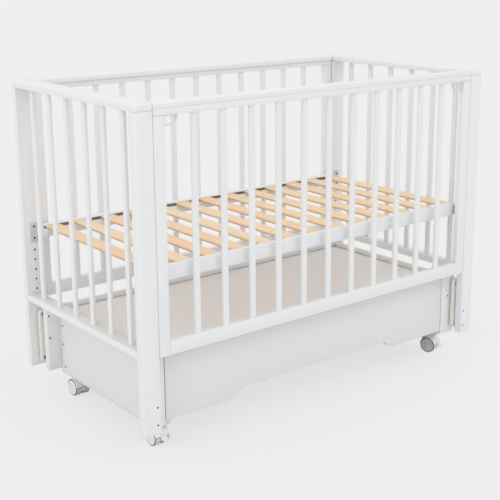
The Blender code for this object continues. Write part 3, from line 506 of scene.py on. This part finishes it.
low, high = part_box("upright_back_right")
upright = add_board("upright", low, high, LACQUER[2])
round_over(upright, UPRIGHT_ROUND, 4, lambda edge: runs_along(edge, 2) and middle(edge).x > high.x - UPRIGHT_SOFT)
round_over(upright, UPRIGHT_SOFT, 2)
bore(upright, (PIVOT_X, low.y + SCREW_BORE_DEEP, PIVOT_HIGH), (PIVOT_X, high.y + PIVOT_BORE, PIVOT_HIGH), PIVOT_BORE)
for height in (UPRIGHT_SCREW_HIGH, PIVOT_HIGH):
    bore(
        upright, (PIVOT_X, low.y - SCREW_BORE_DEEP, height), (PIVOT_X, low.y + SCREW_BORE_DEEP, height),
        SCREW_RADIUS,
    )
screw_place = (PIVOT_X, low.y + SCREW_SUNK, UPRIGHT_SCREW_HIGH)
at_corners(
    socket_screw("screw", screw_place, (0, -1, 0), SCREW_RADIUS - SCREW_PLAY), "upright_inner_screw", "base",
)
across, height = UPRIGHT_FACE_SCREW
bore(upright, (across, high.y - SCREW_BORE_DEEP, height), (across, high.y + SCREW_BORE_DEEP, height), SCREW_RADIUS)
screw_place = (across, high.y - SCREW_SUNK, height)
at_corners(
    socket_screw("screw", screw_place, (0, 1, 0), SCREW_RADIUS - SCREW_PLAY), "upright_outer_screw", "base",
)
at_corners(upright, "base_upright", "base", "upright_{}")

# The casters: a moulded hood with a round neck and a steel stem, and two plastic wheels on one axle,
# 2 cm behind the stem. The front right caster has swung round a little.
AXLE_HIGH = 0.025
TRAIL = 0.020
WHEEL_RADIUS = 0.025
WHEEL_INNER = 0.0046
WHEEL_OUTER = 0.0226
WHEEL_RIM = 0.0016
WHEEL_AROUND = 96
HOOD_RADIUS = 0.0268
HOOD_WALL = 0.0012
HOOD_LOW = 0.0285
HOOD_SHADE_BAND = 0.0016
HOOD_SOFT = 0.0004
WEB_HALF = 0.004
WEB_LOW = 0.017
NECK_RADIUS = 0.009
NECK_TOP = 0.0558
NECK_SOFT = 0.0012
STEM_RADIUS = 0.0045
STEM_TOP = 0.071
STEM_SOFT = 0.001
AXLE_RADIUS = 0.003
AXLE_BORE = 0.0033
RIM_RINGS = ((0.0005, -0.0006), (0.0003, 0.0), (0.0003, 0.0008))
DISC_RINGS = ((0.0050, 0.0004), (0.0006, -0.0008), (0.0070, -0.0004), (0.0008, 0.0009))
FRONT_RIGHT_TURN = math.radians(18)


def moulded(name, slot, dark, light, roughness):
    """Moulded plastic with a faint flow and a fine skin."""
    finish, shader, place = new_finish(name, slot, Specular_IOR_Level=0.5)
    flow = place.noise(70.0, 2.0)
    skin = place.noise(3200.0, 2.0)
    feed(
        shader,
        Base_Color=(0.7 * flow + 0.3 * skin).between(dark, light),
        Roughness=roughness + 0.12 * flow,
        Normal=skin.bump(0.06, 0.0001),
    )
    return finish


HOOD = moulded("hood_white", "hood_plastic", (0.86, 0.86, 0.85), (0.92, 0.92, 0.91), 0.26)
SHADED_DISC = moulded("wheel_disc_painted_shade", "wheel_plastic", (0.44, 0.42, 0.42), (0.70, 0.68, 0.68), 0.30)
PALE_DISC = moulded("wheel_disc_pale", "wheel_plastic", (0.80, 0.81, 0.77), (0.90, 0.90, 0.87), 0.30)
TREAD = moulded("wheel_tread_pale", "wheel_plastic", (0.66, 0.64, 0.63), (0.78, 0.76, 0.75), 0.50)
# Near-black for the hood's lowest band and the wheels' outer edges: painted shade.
EDGE_SHADE = moulded("hood_and_wheel_edge_painted_shade", "wheel_plastic", (0.10, 0.095, 0.09), (0.17, 0.16, 0.155), 0.50)


def join(*pieces):
    select_only(*pieces)
    bpy.ops.object.join()
    return pieces[0]


def cut_level(piece, height, drop_below=True):
    """Cuts a piece level at a height and drops what lies below, or only leaves an edge there."""
    pick(piece, "FACE")
    bpy.ops.mesh.bisect(plane_co=(0, 0, height), plane_no=(0, 0, 1), clear_inner=drop_below, use_fill=drop_below)
    close()


def is_round_end(face, towards):
    return face.normal.dot(towards) > 0.99 and len(face.verts) > 8


def turned_face(piece, towards, rings):
    """Shapes the flat end of a round piece with rings: each is an inset and how far it is pushed out."""
    pick(piece, "FACE", lambda face: is_round_end(face, towards))
    for inset, push in rings:
        bpy.ops.mesh.inset(thickness=inset, depth=push)
    close()


def paint(piece, finish, wanted):
    """Gives the wanted faces of a piece another finish."""
    piece.data.materials.append(finish)
    pick(piece, "FACE", wanted)
    shape = bmesh.from_edit_mesh(piece.data)
    for face in shape.faces:
        if face.select:
            face.material_index = len(piece.data.materials) - 1
    bmesh.update_edit_mesh(piece.data)
    close()


def add_caster(corner, stem_x, stem_y, turn, disc):
    """One caster on its stem, turned about it; gives the turn back for the brake pedal."""
    stem = Vector((stem_x, stem_y, 0.0))
    axle = stem + Vector((0.0, -TRAIL, AXLE_HIGH))
    side = Vector((1.0, 0.0, 0.0))
    up = Vector((0.0, 0.0, 1.0))
    inside = HOOD_RADIUS - HOOD_WALL
    hood = add_rod(
        corner + "_hood", axle - side * WHEEL_OUTER, axle + side * WHEEL_OUTER, HOOD_RADIUS, HOOD, WHEEL_AROUND,
    )
    combine(hood, add_rod("hollow", axle - side, axle + side, inside, HOOD, WHEEL_AROUND))
    cut_level(hood, HOOD_LOW)
    round_over(hood, HOOD_SOFT, 2)
    cut_level(hood, HOOD_LOW + HOOD_SHADE_BAND, drop_below=False)
    # The hood's lowest band is near-black: painted shade under its edge.
    paint(hood, EDGE_SHADE, lambda face: middle(face).z < HOOD_LOW + HOOD_SHADE_BAND)
    web = add_rod(
        "web", axle - side * WEB_HALF, axle + side * WEB_HALF, HOOD_RADIUS - HOOD_WALL / 2, HOOD, WHEEL_AROUND,
    )
    cut_level(web, WEB_LOW)
    combine(hood, web, "UNION")
    neck = add_rod("neck", stem + up * AXLE_HIGH, stem + up * NECK_TOP, NECK_RADIUS, HOOD, 48)
    round_over(neck, NECK_SOFT, 3, lambda edge: sharp(edge) and middle(edge).z > HOOD_LOW)
    for start, end in ((WEB_HALF, WHEEL_OUTER), (-WHEEL_OUTER, -WEB_HALF)):
        combine(neck, add_rod("wheel_room", axle + side * start, axle + side * end, inside, HOOD, WHEEL_AROUND))
    combine(hood, neck, "UNION")
    bore(hood, axle - side * WHEEL_OUTER, axle + side * WHEEL_OUTER, AXLE_BORE)
    pin = add_rod("pin", stem + up * (NECK_TOP - STEM_RADIUS), stem + up * STEM_TOP, STEM_RADIUS, ZINC, 32)
    round_over(pin, STEM_SOFT, 2, lambda edge: sharp(edge) and middle(edge).z > NECK_TOP)
    combine(hood, pin, "UNION")

    pair = []
    for outward in (-side, side):
        outer = axle + outward * WHEEL_OUTER
        wheel = add_rod(corner + "_wheels", axle + outward * WHEEL_INNER, outer, WHEEL_RADIUS, TREAD, WHEEL_AROUND)
        round_over(wheel, WHEEL_RIM, 3)
        # The wheel's outer edge is near-black: painted shade.
        paint(wheel, EDGE_SHADE, lambda face: abs(middle(face).x - outer.x) < WHEEL_RIM)
        turned_face(wheel, outward, RIM_RINGS)
        paint(wheel, disc, lambda face: is_round_end(face, outward))
        turned_face(wheel, outward, DISC_RINGS)
        pair.append(wheel)
    axle_rod = add_rod("axle", axle - side * WHEEL_INNER, axle + side * WHEEL_INNER, AXLE_RADIUS, ZINC, 24)
    wheels = join(*pair, axle_rod)
    about = Matrix.Translation(stem) @ Matrix.Rotation(turn, 4, "Z") @ Matrix.Translation(-stem)
    for piece, body, node in (
        (hood, "swivel_" + corner, "caster_hood_" + corner),
        (wheels, "wheels_" + corner, "caster_wheels_" + corner),
    ):
        piece.matrix_world = about
        fix_place(piece)
        fit(piece, body, node)
    return about


caster_turns = {}
for corner, sign_x, sign_y in CORNERS:
    # The front right caster's discs get a darker grey: painted shade.
    turn, disc = (FRONT_RIGHT_TURN, SHADED_DISC) if corner == "front_right" else (0.0, PALE_DISC)
    caster_turns[corner] = add_caster(corner, sign_x * CASTER_OUT_X, sign_y * CASTER_OUT_Y, turn, disc)

# The brake pedals: a small tab on the trailing side of each front caster, moulded in one with its hinge
# barrel. It is down at rest, which brakes the wheels, and lifts to free them.
PEDAL_Y = -0.26583
PEDAL_HIGH = 0.0316
PEDAL_HALF = 0.008
PEDAL_PIN = 0.0026
PEDAL_LONG = 0.017
PEDAL_THICK = 0.0025
PEDAL_SLOPE = math.radians(28)
PEDAL_SOFT = 0.0006
for corner, sign_x in (("front_right", 1), ("front_left", -1)):
    hinge = Vector((sign_x * CASTER_OUT_X, PEDAL_Y, PEDAL_HIGH))
    half = Vector((PEDAL_HALF, 0.0, 0.0))
    barrel = add_rod(corner + "_pedal", hinge - half, hinge + half, PEDAL_PIN, HOOD, 24)
    tab = add_board("tab", (-PEDAL_HALF, -PEDAL_LONG, -PEDAL_THICK / 2), (PEDAL_HALF, 0.0, PEDAL_THICK / 2), HOOD)
    round_over(tab, PEDAL_LONG / 4, 5, lambda edge: runs_along(edge, 2) and middle(edge).y < -PEDAL_LONG / 2)
    round_over(tab, PEDAL_SOFT, 2)
    tab.matrix_world = Matrix.Translation(hinge) @ Matrix.Rotation(PEDAL_SLOPE, 4, "X")
    fix_place(tab)
    combine(barrel, tab, "UNION")
    barrel.matrix_world = caster_turns[corner]
    fix_place(barrel)
    fit(barrel, "pedal_" + corner, "brake_pedal_" + corner)

# The pendulum arms: four flat bars of cream lacquered wood with round ends, bored at both ends. Each hangs
# on a bolt in its upright and carries a leg of the crib on another.
PIVOT_LOW = 0.104
ARM_HALF = 0.016
ARM_SOFT = 0.0022
CREAM_LOW = (0.790, 0.815, 0.735)
CREAM_HIGH = (0.860, 0.880, 0.805)

CREAM, cream_shader, cream_place = new_finish("cream_satin", "cream_lacquer")
cream_grain = cream_place.stretched(2, 0.04).noise(420.0, 4.0)
cream_cloud = cream_place.noise(14.0)
feed(
    cream_shader,
    Base_Color=(0.5 * cream_grain + 0.5 * cream_cloud).between(CREAM_LOW, CREAM_HIGH),
    Roughness=0.32 + 0.14 * cream_cloud,
    Normal=cream_grain.bump(0.15, 0.0003),
)
low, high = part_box("arm_back_right")
arm = add_rod("arm", (PIVOT_X, low.y, PIVOT_HIGH), (PIVOT_X, high.y, PIVOT_HIGH), ARM_HALF, CREAM, 64)
pick(arm, "VERT", lambda vert: vert.co.z < PIVOT_HIGH - ARM_HALF / 100)
bpy.ops.transform.translate(value=(0.0, 0.0, PIVOT_LOW - PIVOT_HIGH))
close()
round_over(arm, ARM_SOFT, 4)
for height in (PIVOT_LOW, PIVOT_HIGH):
    bore(arm, (PIVOT_X, low.y - ARM_HALF, height), (PIVOT_X, high.y + ARM_HALF, height), PIVOT_BORE)
arm_low, arm_high = low.y, high.y
at_corners(arm, "pendulum_arm", "pendulum_arm_{}", "arm_{}")

# The pivot bolts, of blackened steel. The upper ones go through arm and upright, with a spacer between
# them and a sleeve nut sunk inside; the lower ones come out of the leg's back and carry the arm's foot.
BOLT_RADIUS = 0.004
BOLT_SOCKET = 0.003
BOLT_LAP = 0.001
HEAD_RADIUS = 0.009
HEAD_THICK = 0.0032
HEAD_SOFT = 0.0008
SPACER_RADIUS = 0.008
SPACER_SOFT = 0.0006
SLEEVE_SOFT = 0.0004
SEAT = 0.0003
LEG_SCREW_DEEP = 0.006
upright_low, upright_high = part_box("upright_back_right")
post_low, post_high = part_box("post_back_right")


def bolt_part(start_y, end_y, height, radius, around=32, soft=0.0):
    part = add_rod("bolt", (PIVOT_X, start_y, height), (PIVOT_X, end_y, height), radius, BLACK_STEEL, around)
    if soft:
        round_over(part, soft, 3)
    return part


def bolt_head(start_y, end_y, socket_start, socket_end, height):
    head = bolt_part(start_y, end_y, height, HEAD_RADIUS, 40, HEAD_SOFT)
    combine(head, add_rod(
        "socket", (PIVOT_X, socket_start, height), (PIVOT_X, socket_end, height), BOLT_SOCKET, HOLLOW_SHADE, 6,
    ))
    return head


head_start = arm_high + SEAT
head_end = head_start + HEAD_THICK
sleeve_start = upright_low.y + SCREW_SUNK
upper_bolt = join(
    bolt_head(head_start, head_end, head_end - HEAD_THICK / 2, head_end + HEAD_THICK, PIVOT_HIGH),
    bolt_part(upright_low.y + SCREW_BORE_DEEP + SEAT, head_start + BOLT_LAP, PIVOT_HIGH, BOLT_RADIUS),
    bolt_part(upright_high.y + SEAT, arm_low - SEAT, PIVOT_HIGH, SPACER_RADIUS, 40, SPACER_SOFT),
    bolt_part(
        sleeve_start, sleeve_start + SCREW_BORE_DEEP, PIVOT_HIGH, SCREW_RADIUS - SCREW_PLAY, 28, SLEEVE_SOFT,
    ),
)
at_corners(upper_bolt, "upper_bolt", "base", "upper_pivot_bolt_{}")

head_end = arm_low - SEAT
lower_bolt = join(
    bolt_head(head_end - HEAD_THICK, head_end, arm_low - HEAD_THICK * 2, arm_low - HEAD_THICK / 2, PIVOT_LOW),
    bolt_part(head_end - BOLT_LAP, post_high.y - LEG_SCREW_DEEP, PIVOT_LOW, BOLT_RADIUS),
    bolt_part(arm_high + SEAT, post_low.y - SEAT, PIVOT_LOW, SPACER_RADIUS, 40, SPACER_SOFT),
)
at_corners(lower_bolt, "lower_bolt", "crib", "lower_pivot_bolt_{}")

# The crib's posts: solid wood with a wide round on the outer corner. Each is bored for its lower bolt, and
# has a sunk screw above that and a row of five holes in which the bed base can be bolted lower.
POST_ROUND = 0.010
POST_SOFT = 0.0018
PEG_X = 0.603
PEG_HIGHS = (0.440, 0.410, 0.380, 0.350, 0.320)
PEG_RADIUS = 0.003
PEG_DEEP = 0.010
LEG_SCREW_RADIUS = 0.0027
LEG_SCREW_HIGH = 0.153
LEG_SCREW_SUNK = 0.002
post = add_board("post", post_low, post_high, LACQUER[2])
round_over(post, POST_ROUND, 8, lambda edge: runs_along(edge, 2) and middle(edge).x > post_high.x - POST_SOFT
           and middle(edge).y > post_high.y - POST_SOFT)
round_over(post, POST_SOFT, 3)
bore(post, (PIVOT_X, post_low.y - PEG_DEEP, PIVOT_LOW), (PIVOT_X, post_high.y - LEG_SCREW_DEEP + SEAT, PIVOT_LOW),
     PIVOT_BORE)
for height in (PIVOT_LOW, LEG_SCREW_HIGH):
    bore(post, (PIVOT_X, post_high.y - LEG_SCREW_DEEP, height), (PIVOT_X, post_high.y + PEG_DEEP, height),
         LEG_SCREW_RADIUS)
for height in PEG_HIGHS:
    bore(post, (PEG_X, post_low.y - PEG_DEEP, height), (PEG_X, post_low.y + PEG_DEEP, height), PEG_RADIUS)
at_corners(post, "post", "crib", "post_{}")
screw_place = (PIVOT_X, post_high.y - LEG_SCREW_SUNK, LEG_SCREW_HIGH)
at_corners(socket_screw("screw", screw_place, (0, 1, 0), LEG_SCREW_RADIUS - SEAT), "leg_screw", "crib")

# The ends: a board laid flat over two posts, and below it a bottom rail, laid flat too and rounded outside,
# with six laths tenoned into its middle.
END_RAIL_ROUND = 0.009
END_RAIL_SOFT = 0.0012
LATH_WIDE = 0.018
LATH_THICK = 0.010
LATH_ROUND = 0.0028
LATH_SUNK = 0.004
END_LATHS = 6
END_LATH_PITCH = 0.0968
END_FRAME_TALL = 0.021
END_FRAME_ROUND = 0.008
FRAME_SOFT = 0.002

low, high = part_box("end_top_rail_right")
board = add_board("right_end_rail", low, high, LACQUER[1])
round_over(board, END_RAIL_ROUND, 8, lambda edge: (
    middle(edge).z > high.z - END_RAIL_SOFT or runs_along(edge, 2) and middle(edge).x > high.x - END_RAIL_SOFT))
round_over(board, END_RAIL_SOFT, 2)
fit(mirror_copy(board, "left_end_rail", -1, 1), "crib", "end_top_rail_left")
fit(board, "crib", "end_top_rail_right")


def repeat(piece, count, step):
    """Repeats a form at even steps, all in one piece."""
    copies = piece.modifiers.new("repeat", "ARRAY")
    copies.use_relative_offset = False
    copies.use_constant_offset = True
    copies.constant_offset_displace = step
    copies.count = count
    select_only(piece)
    bpy.ops.object.modifier_apply(modifier=copies.name)


def add_laths(low, high, count, step):
    """One upright lath with rounded edges, repeated at even steps."""
    lath = add_board("laths", low, high, LACQUER[2])
    round_over(lath, LATH_ROUND, 4, lambda edge: runs_along(edge, 2))
    repeat(lath, count, step)
    return lath


low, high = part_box("end_lattice_right")
frame_top = low.z + END_FRAME_TALL
lath_x = (low.x + high.x) / 2
first_y = -END_LATH_PITCH * (END_LATHS - 1) / 2
bottom = add_board("right_end_lattice", low, (high.x, high.y, frame_top), LACQUER[1])
round_over(bottom, END_FRAME_ROUND, 6, lambda edge: runs_along(edge, 1) and middle(edge).x > high.x - FRAME_SOFT)
round_over(bottom, FRAME_SOFT, 3)
laths = add_laths(
    (lath_x - LATH_THICK / 2, first_y - LATH_WIDE / 2, frame_top - LATH_SUNK),
    (lath_x + LATH_THICK / 2, first_y + LATH_WIDE / 2, high.z), END_LATHS, (0.0, END_LATH_PITCH, 0.0),
)
lattice = join(bottom, laths)
fit(mirror_copy(lattice, "left_end_lattice", -1, 1), "crib", "end_lattice_left")
fit(lattice, "crib", "end_lattice_right")

# The sides: two stiles, a bottom rail and eleven laths, glued up, under a rail with a wider rounded cap.
# The back one is fixed between the posts; the front one is the drop side and slides in them.
SIDE_LATHS = 11
STILE_WIDE = 0.033
SIDE_RAIL_LIFT = 0.001
SIDE_RAIL_TALL = 0.0385
LATH_SETBACK = 0.004
CAP_TALL = 0.0175
CAP_ROUND = 0.007
CAP_SOFT = 0.0011

low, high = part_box("back_side_frame")
stile_inner = high.x - STILE_WIDE
rail_low = low.z + SIDE_RAIL_LIFT
rail_high = rail_low + SIDE_RAIL_TALL
lath_pitch = 2 * stile_inner / (SIDE_LATHS + 1)
bottom = add_board("back_side", (-stile_inner, low.y, rail_low), (stile_inner, high.y, rail_high), LACQUER[0])
round_over(bottom, CAP_SOFT, 2)
stiles = []
for sign in (-1, 1):
    xs = sorted((sign * stile_inner, sign * high.x))
    stile = add_board("stile", (xs[0], low.y, low.z), (xs[1], high.y, high.z), LACQUER[2])
    round_over(stile, FRAME_SOFT, 3)
    stiles.append(stile)
first_x = -lath_pitch * (SIDE_LATHS - 1) / 2
laths = add_laths(
    (first_x - LATH_WIDE / 2, high.y - LATH_SETBACK - LATH_THICK, rail_high - LATH_SUNK),
    (first_x + LATH_WIDE / 2, high.y - LATH_SETBACK, high.z), SIDE_LATHS, (lath_pitch, 0.0, 0.0),
)
side = join(bottom, *stiles, laths)
fit(mirror_copy(side, "front_side", 1, -1), "drop_side", "front_side_frame")
fit(side, "crib", "back_side_frame")

low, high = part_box("back_top_rail")
frame_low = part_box("back_side_frame")[0]
under = add_board("back_rail", (low.x, frame_low.y, low.z), (high.x, high.y, high.z - CAP_TALL), LACQUER[0])
round_over(under, CAP_SOFT, 2)
cap = add_board("cap", (low.x, low.y, high.z - CAP_TALL), high, LACQUER[0])
round_over(cap, CAP_ROUND, 6, lambda edge: runs_along(edge, 0) and middle(edge).z > high.z - CAP_SOFT)
round_over(cap, CAP_SOFT, 2)
top = join(under, cap)
fit(mirror_copy(top, "front_rail", 1, -1), "drop_side", "front_top_rail")
fit(top, "crib", "back_top_rail")

# The catches: a moulded white loop under each end of the drop side's top rail. A finger draws it inwards to
# free the rail from its post, and it springs back.
CATCH_WALL = 0.003
CATCH_ROUND = 0.019
CATCH_SOFT = 0.0008

PLASTIC = moulded("catch_white", "white_plastic", (0.75, 0.77, 0.77), (0.80, 0.82, 0.82), 0.24)
low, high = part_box("catch_right")
catch = add_board("right_catch", low, high, PLASTIC)
round_over(catch, CATCH_ROUND, 10, lambda edge: runs_along(edge, 1) and middle(edge).x < low.x + CATCH_SOFT
           and middle(edge).z < low.z + CATCH_SOFT)
inset = Vector((CATCH_WALL, -CATCH_WALL, CATCH_WALL))
opening = add_board("opening", low + inset, high - inset, PLASTIC)
round_over(opening, CATCH_ROUND - CATCH_WALL, 10, lambda edge: (
    runs_along(edge, 1) and middle(edge).x < low.x + CATCH_WALL * 2 and middle(edge).z < low.z + CATCH_WALL * 2))
combine(catch, opening)
round_over(catch, CATCH_SOFT, 2)
fit(mirror_copy(catch, "left_catch", -1, 1), "catch_lever_left", "catch_left")
fit(catch, "catch_lever_right", "catch_right")

# The bed base: two long lacquered rails, each with a sawn groove inside and a ledge under it, and thirteen
# slats of clear lacquered birch whose ends sit in the grooves.
BED_SOFT = 0.002
SLATS = 13
SLAT_WIDE = 0.045
SLAT_THICK = 0.008
SLAT_SOFT = 0.0014
SLAT_INSET = 0.004
LEDGE_WIDE = 0.012
LEDGE_TALL = 0.018
BIRCH_PALE = (0.94, 0.75, 0.49)
BIRCH_WARM = (0.94, 0.63, 0.39)
BIRCH_DARK = (0.76, 0.49, 0.28)
BIRCH_LINE = (0.62, 0.38, 0.20)
BIRCH_SIDE_SHADE = (0.60, 0.34, 0.17)
GROOVE_WOOD_SHADE_LOW = (0.30, 0.22, 0.16)
GROOVE_WOOD_SHADE_HIGH = (0.46, 0.36, 0.27)

# The groove's lining is sawn wood in colour, darkened further as painted shade inside the groove.
GROOVE_WOOD_SHADE, groove_shade_shader, groove_shade_place = new_finish("sawn_groove_painted_shade", "white_lacquer", Roughness=0.85)
feed(groove_shade_shader, Base_Color=groove_shade_place.stretched(0, 0.1).noise(600.0).between(GROOVE_WOOD_SHADE_LOW, GROOVE_WOOD_SHADE_HIGH))
slats_low, slats_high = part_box("bed_slats")
slat_under = slats_high.z - SLAT_THICK
for where in ("front", "back"):
    low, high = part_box("bed_rail_" + where)
    board = add_board(where + "_bed_rail", low, high, LACQUER[0])
    round_over(board, BED_SOFT, 3)
    groove = add_board(
        "groove", (low.x - SEAT, -slats_high.y - SEAT, slat_under - SEAT),
        (high.x + SEAT, slats_high.y + SEAT, slats_high.z + SEAT), GROOVE_WOOD_SHADE,
    )
    combine(board, groove)
    fit(board, "crib", "bed_rail_" + where)

BIRCH, birch_shader, birch_place = new_finish("clear_birch", "birch", Coat_Weight=0.1, Coat_Roughness=0.3)
first_x = slats_low.x + SLAT_INSET + SLAT_WIDE / 2
slat_pitch = -2 * first_x / (SLATS - 1)
across = birch_place.node("ShaderNodeSeparateXYZ", {}, {0: birch_place})
upward = birch_place.node("ShaderNodeSeparateXYZ", {}, {0: birch_place}, output=2)
number = birch_place.math("FLOOR", across * (1 / slat_pitch) + SLATS / 2)
tone = birch_place.node("ShaderNodeTexWhiteNoise", {"noise_dimensions": "1D"}, {"W": number})
shift = number * 3.7
year_rings = birch_place.stretched(1, 0.035).noise(110.0, 6.0, W=shift)
pores = birch_place.stretched(1, 0.06).noise(900.0, 3.0, W=shift)
flame = birch_place.stretched(1, 0.12).noise(22.0, 3.0, W=shift)


def span(wire, start, end, most):
    """0 below start, rising to most at end."""
    limits = {"Value": wire, "From Min": start, "From Max": end, "To Min": 0.0, "To Max": most}
    return wire.node("ShaderNodeMapRange", {}, limits)


def laid_over(under, share, colour):
    return share.node("ShaderNodeMix", {"data_type": "RGBA"}, {0: share, 6: under, 7: (*colour, 1.0)}, output=2)


birch_colour = (0.75 * tone + 0.25 * flame).between(BIRCH_PALE, BIRCH_WARM)
birch_colour = laid_over(birch_colour, span(year_rings, 0.50, 0.72, 0.40), BIRCH_DARK)
birch_colour = laid_over(birch_colour, span(pores, 0.58, 0.80, 0.40), BIRCH_LINE)
# The slats' sides darken towards their undersides: painted shade.
side_shade_share = span(slats_high.z - upward, SLAT_THICK * 0.30, SLAT_THICK * 0.75, 0.85)
feed(
    birch_shader,
    Base_Color=laid_over(birch_colour, side_shade_share, BIRCH_SIDE_SHADE),
    Roughness=0.40 + 0.15 * flame,
    Normal=(pores + 0.5 * year_rings).bump(0.20, 0.0003),
)
slats = add_board(
    "birch_slats", (first_x - SLAT_WIDE / 2, slats_low.y, slat_under),
    (first_x + SLAT_WIDE / 2, slats_high.y, slats_high.z), BIRCH,
)
round_over(slats, SLAT_SOFT, 3)
repeat(slats, SLATS, (slat_pitch, 0.0, 0.0))
fit(slats, "crib", "bed_slats")
ledge_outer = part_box("bed_rail_back")[0].y - SEAT
for where, sign in (("front", -1), ("back", 1)):
    ys = sorted((sign * ledge_outer, sign * (ledge_outer - LEDGE_WIDE)))
    ledge = add_board(
        where + "_ledge", (slats_low.x, ys[0], slat_under - LEDGE_TALL), (slats_high.x, ys[1], slat_under),
        LACQUER[0],
    )
    round_over(ledge, CAP_SOFT, 2)
    fit(ledge, "crib")

# The brackets: zinc-plated steel plates, each held to the inside of a post by two blackened bolts, with a
# tongue that is screwed to a long rail.
BRACKET_ROUND = 0.004
BRACKET_EDGE = 0.0004
TONGUE_LOW = 0.485
TONGUE_HIGH = 0.511
PLATE_LEFT = 0.592
PLATE_BOLTS = (("upper", 0.512), ("lower", 0.476))
PLATE_BOLT_RADIUS = 0.0027
PLATE_BOLT_STANDS = 0.0022
low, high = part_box("bed_bracket_back_right")
plate = add_board("plate", (PLATE_LEFT, low.y, low.z), high, ZINC)
round_over(plate, BRACKET_ROUND, 5, lambda edge: runs_along(edge, 1))
tongue = add_board("tongue", (low.x, low.y, TONGUE_LOW), (PLATE_LEFT + BRACKET_ROUND, high.y, TONGUE_HIGH), ZINC)
round_over(tongue, BRACKET_ROUND, 5, lambda edge: runs_along(edge, 1) and middle(edge).x < low.x + BRACKET_EDGE)
combine(plate, tongue, "UNION")
round_over(plate, BRACKET_EDGE, 2)
at_corners(plate, "bed_bracket", "crib", "bed_bracket_{}")
for label, height in PLATE_BOLTS:
    screw_place = (PEG_X, low.y - PLATE_BOLT_STANDS, height)
    at_corners(socket_screw("screw", screw_place, (0, -1, 0), PLATE_BOLT_RADIUS), label + "_bracket_bolt", "crib")

# The drawer: a front of coated board whose lower edge rises in the middle as a hand gap, and behind it
# two sides and a back with a thin bottom sheet in their grooves.
GAP_HALF = 0.265
GAP_RAMP = 0.055
GAP_RISE = 0.0255
RAMP_CUTS = 12
DRAWER_WALL = 0.012
FRONT_SOFT = 0.0014
WELD = 0.00001

low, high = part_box("drawer_front")
drawer_face = add_board("drawer_face", low, high, BOARD[0])
pick(drawer_face, "FACE")
for stop in [0.0] + [GAP_HALF + GAP_RAMP * index / RAMP_CUTS for index in range(RAMP_CUTS + 1)]:
    for sign in (-1, 1):
        bpy.ops.mesh.select_all(action="SELECT")
        bpy.ops.mesh.bisect(plane_co=(sign * stop, 0, 0), plane_no=(1, 0, 0))
bpy.ops.mesh.select_all(action="SELECT")
bpy.ops.mesh.remove_doubles(threshold=WELD)
shape = bmesh.from_edit_mesh(drawer_face.data)
for vert in shape.verts:
    share = min(max((abs(vert.co.x) - GAP_HALF) / GAP_RAMP, 0.0), 1.0)
    if vert.co.z < low.z + GAP_RISE / 10:
        vert.co.z += GAP_RISE * (1 + math.cos(math.pi * share)) / 2
bmesh.update_edit_mesh(drawer_face.data)
close()
round_over(drawer_face, FRONT_SOFT, 3)
fit(drawer_face, "drawer", "drawer_front")

low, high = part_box("drawer_box")
sheet_low, sheet_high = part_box("drawer_bottom")
groove = Vector((SEAT, SEAT, SEAT))
walls = []
for sign in (-1, 1):
    xs = sorted((sign * (high.x - DRAWER_WALL), sign * high.x))
    walls.append(add_board("drawer_walls", (xs[0], low.y, low.z), (xs[1], high.y, high.z), BOARD[1]))
inner = high.x - DRAWER_WALL
walls.append(add_board("back", (-inner, high.y - DRAWER_WALL, low.z), (inner, high.y, high.z), BOARD[0]))
for wall in walls:
    round_over(wall, BOARD_SOFT, 2)
    combine(wall, add_board("groove", sheet_low - groove, sheet_high + groove, BOARD[0]))
walls = join(*walls)
fit(walls, "drawer", "drawer_box")
sheet = add_board("drawer_sheet", sheet_low, sheet_high, HARDBOARD)
round_over(sheet, SHEET_SOFT, 2)
fit(sheet, "drawer", "drawer_bottom")
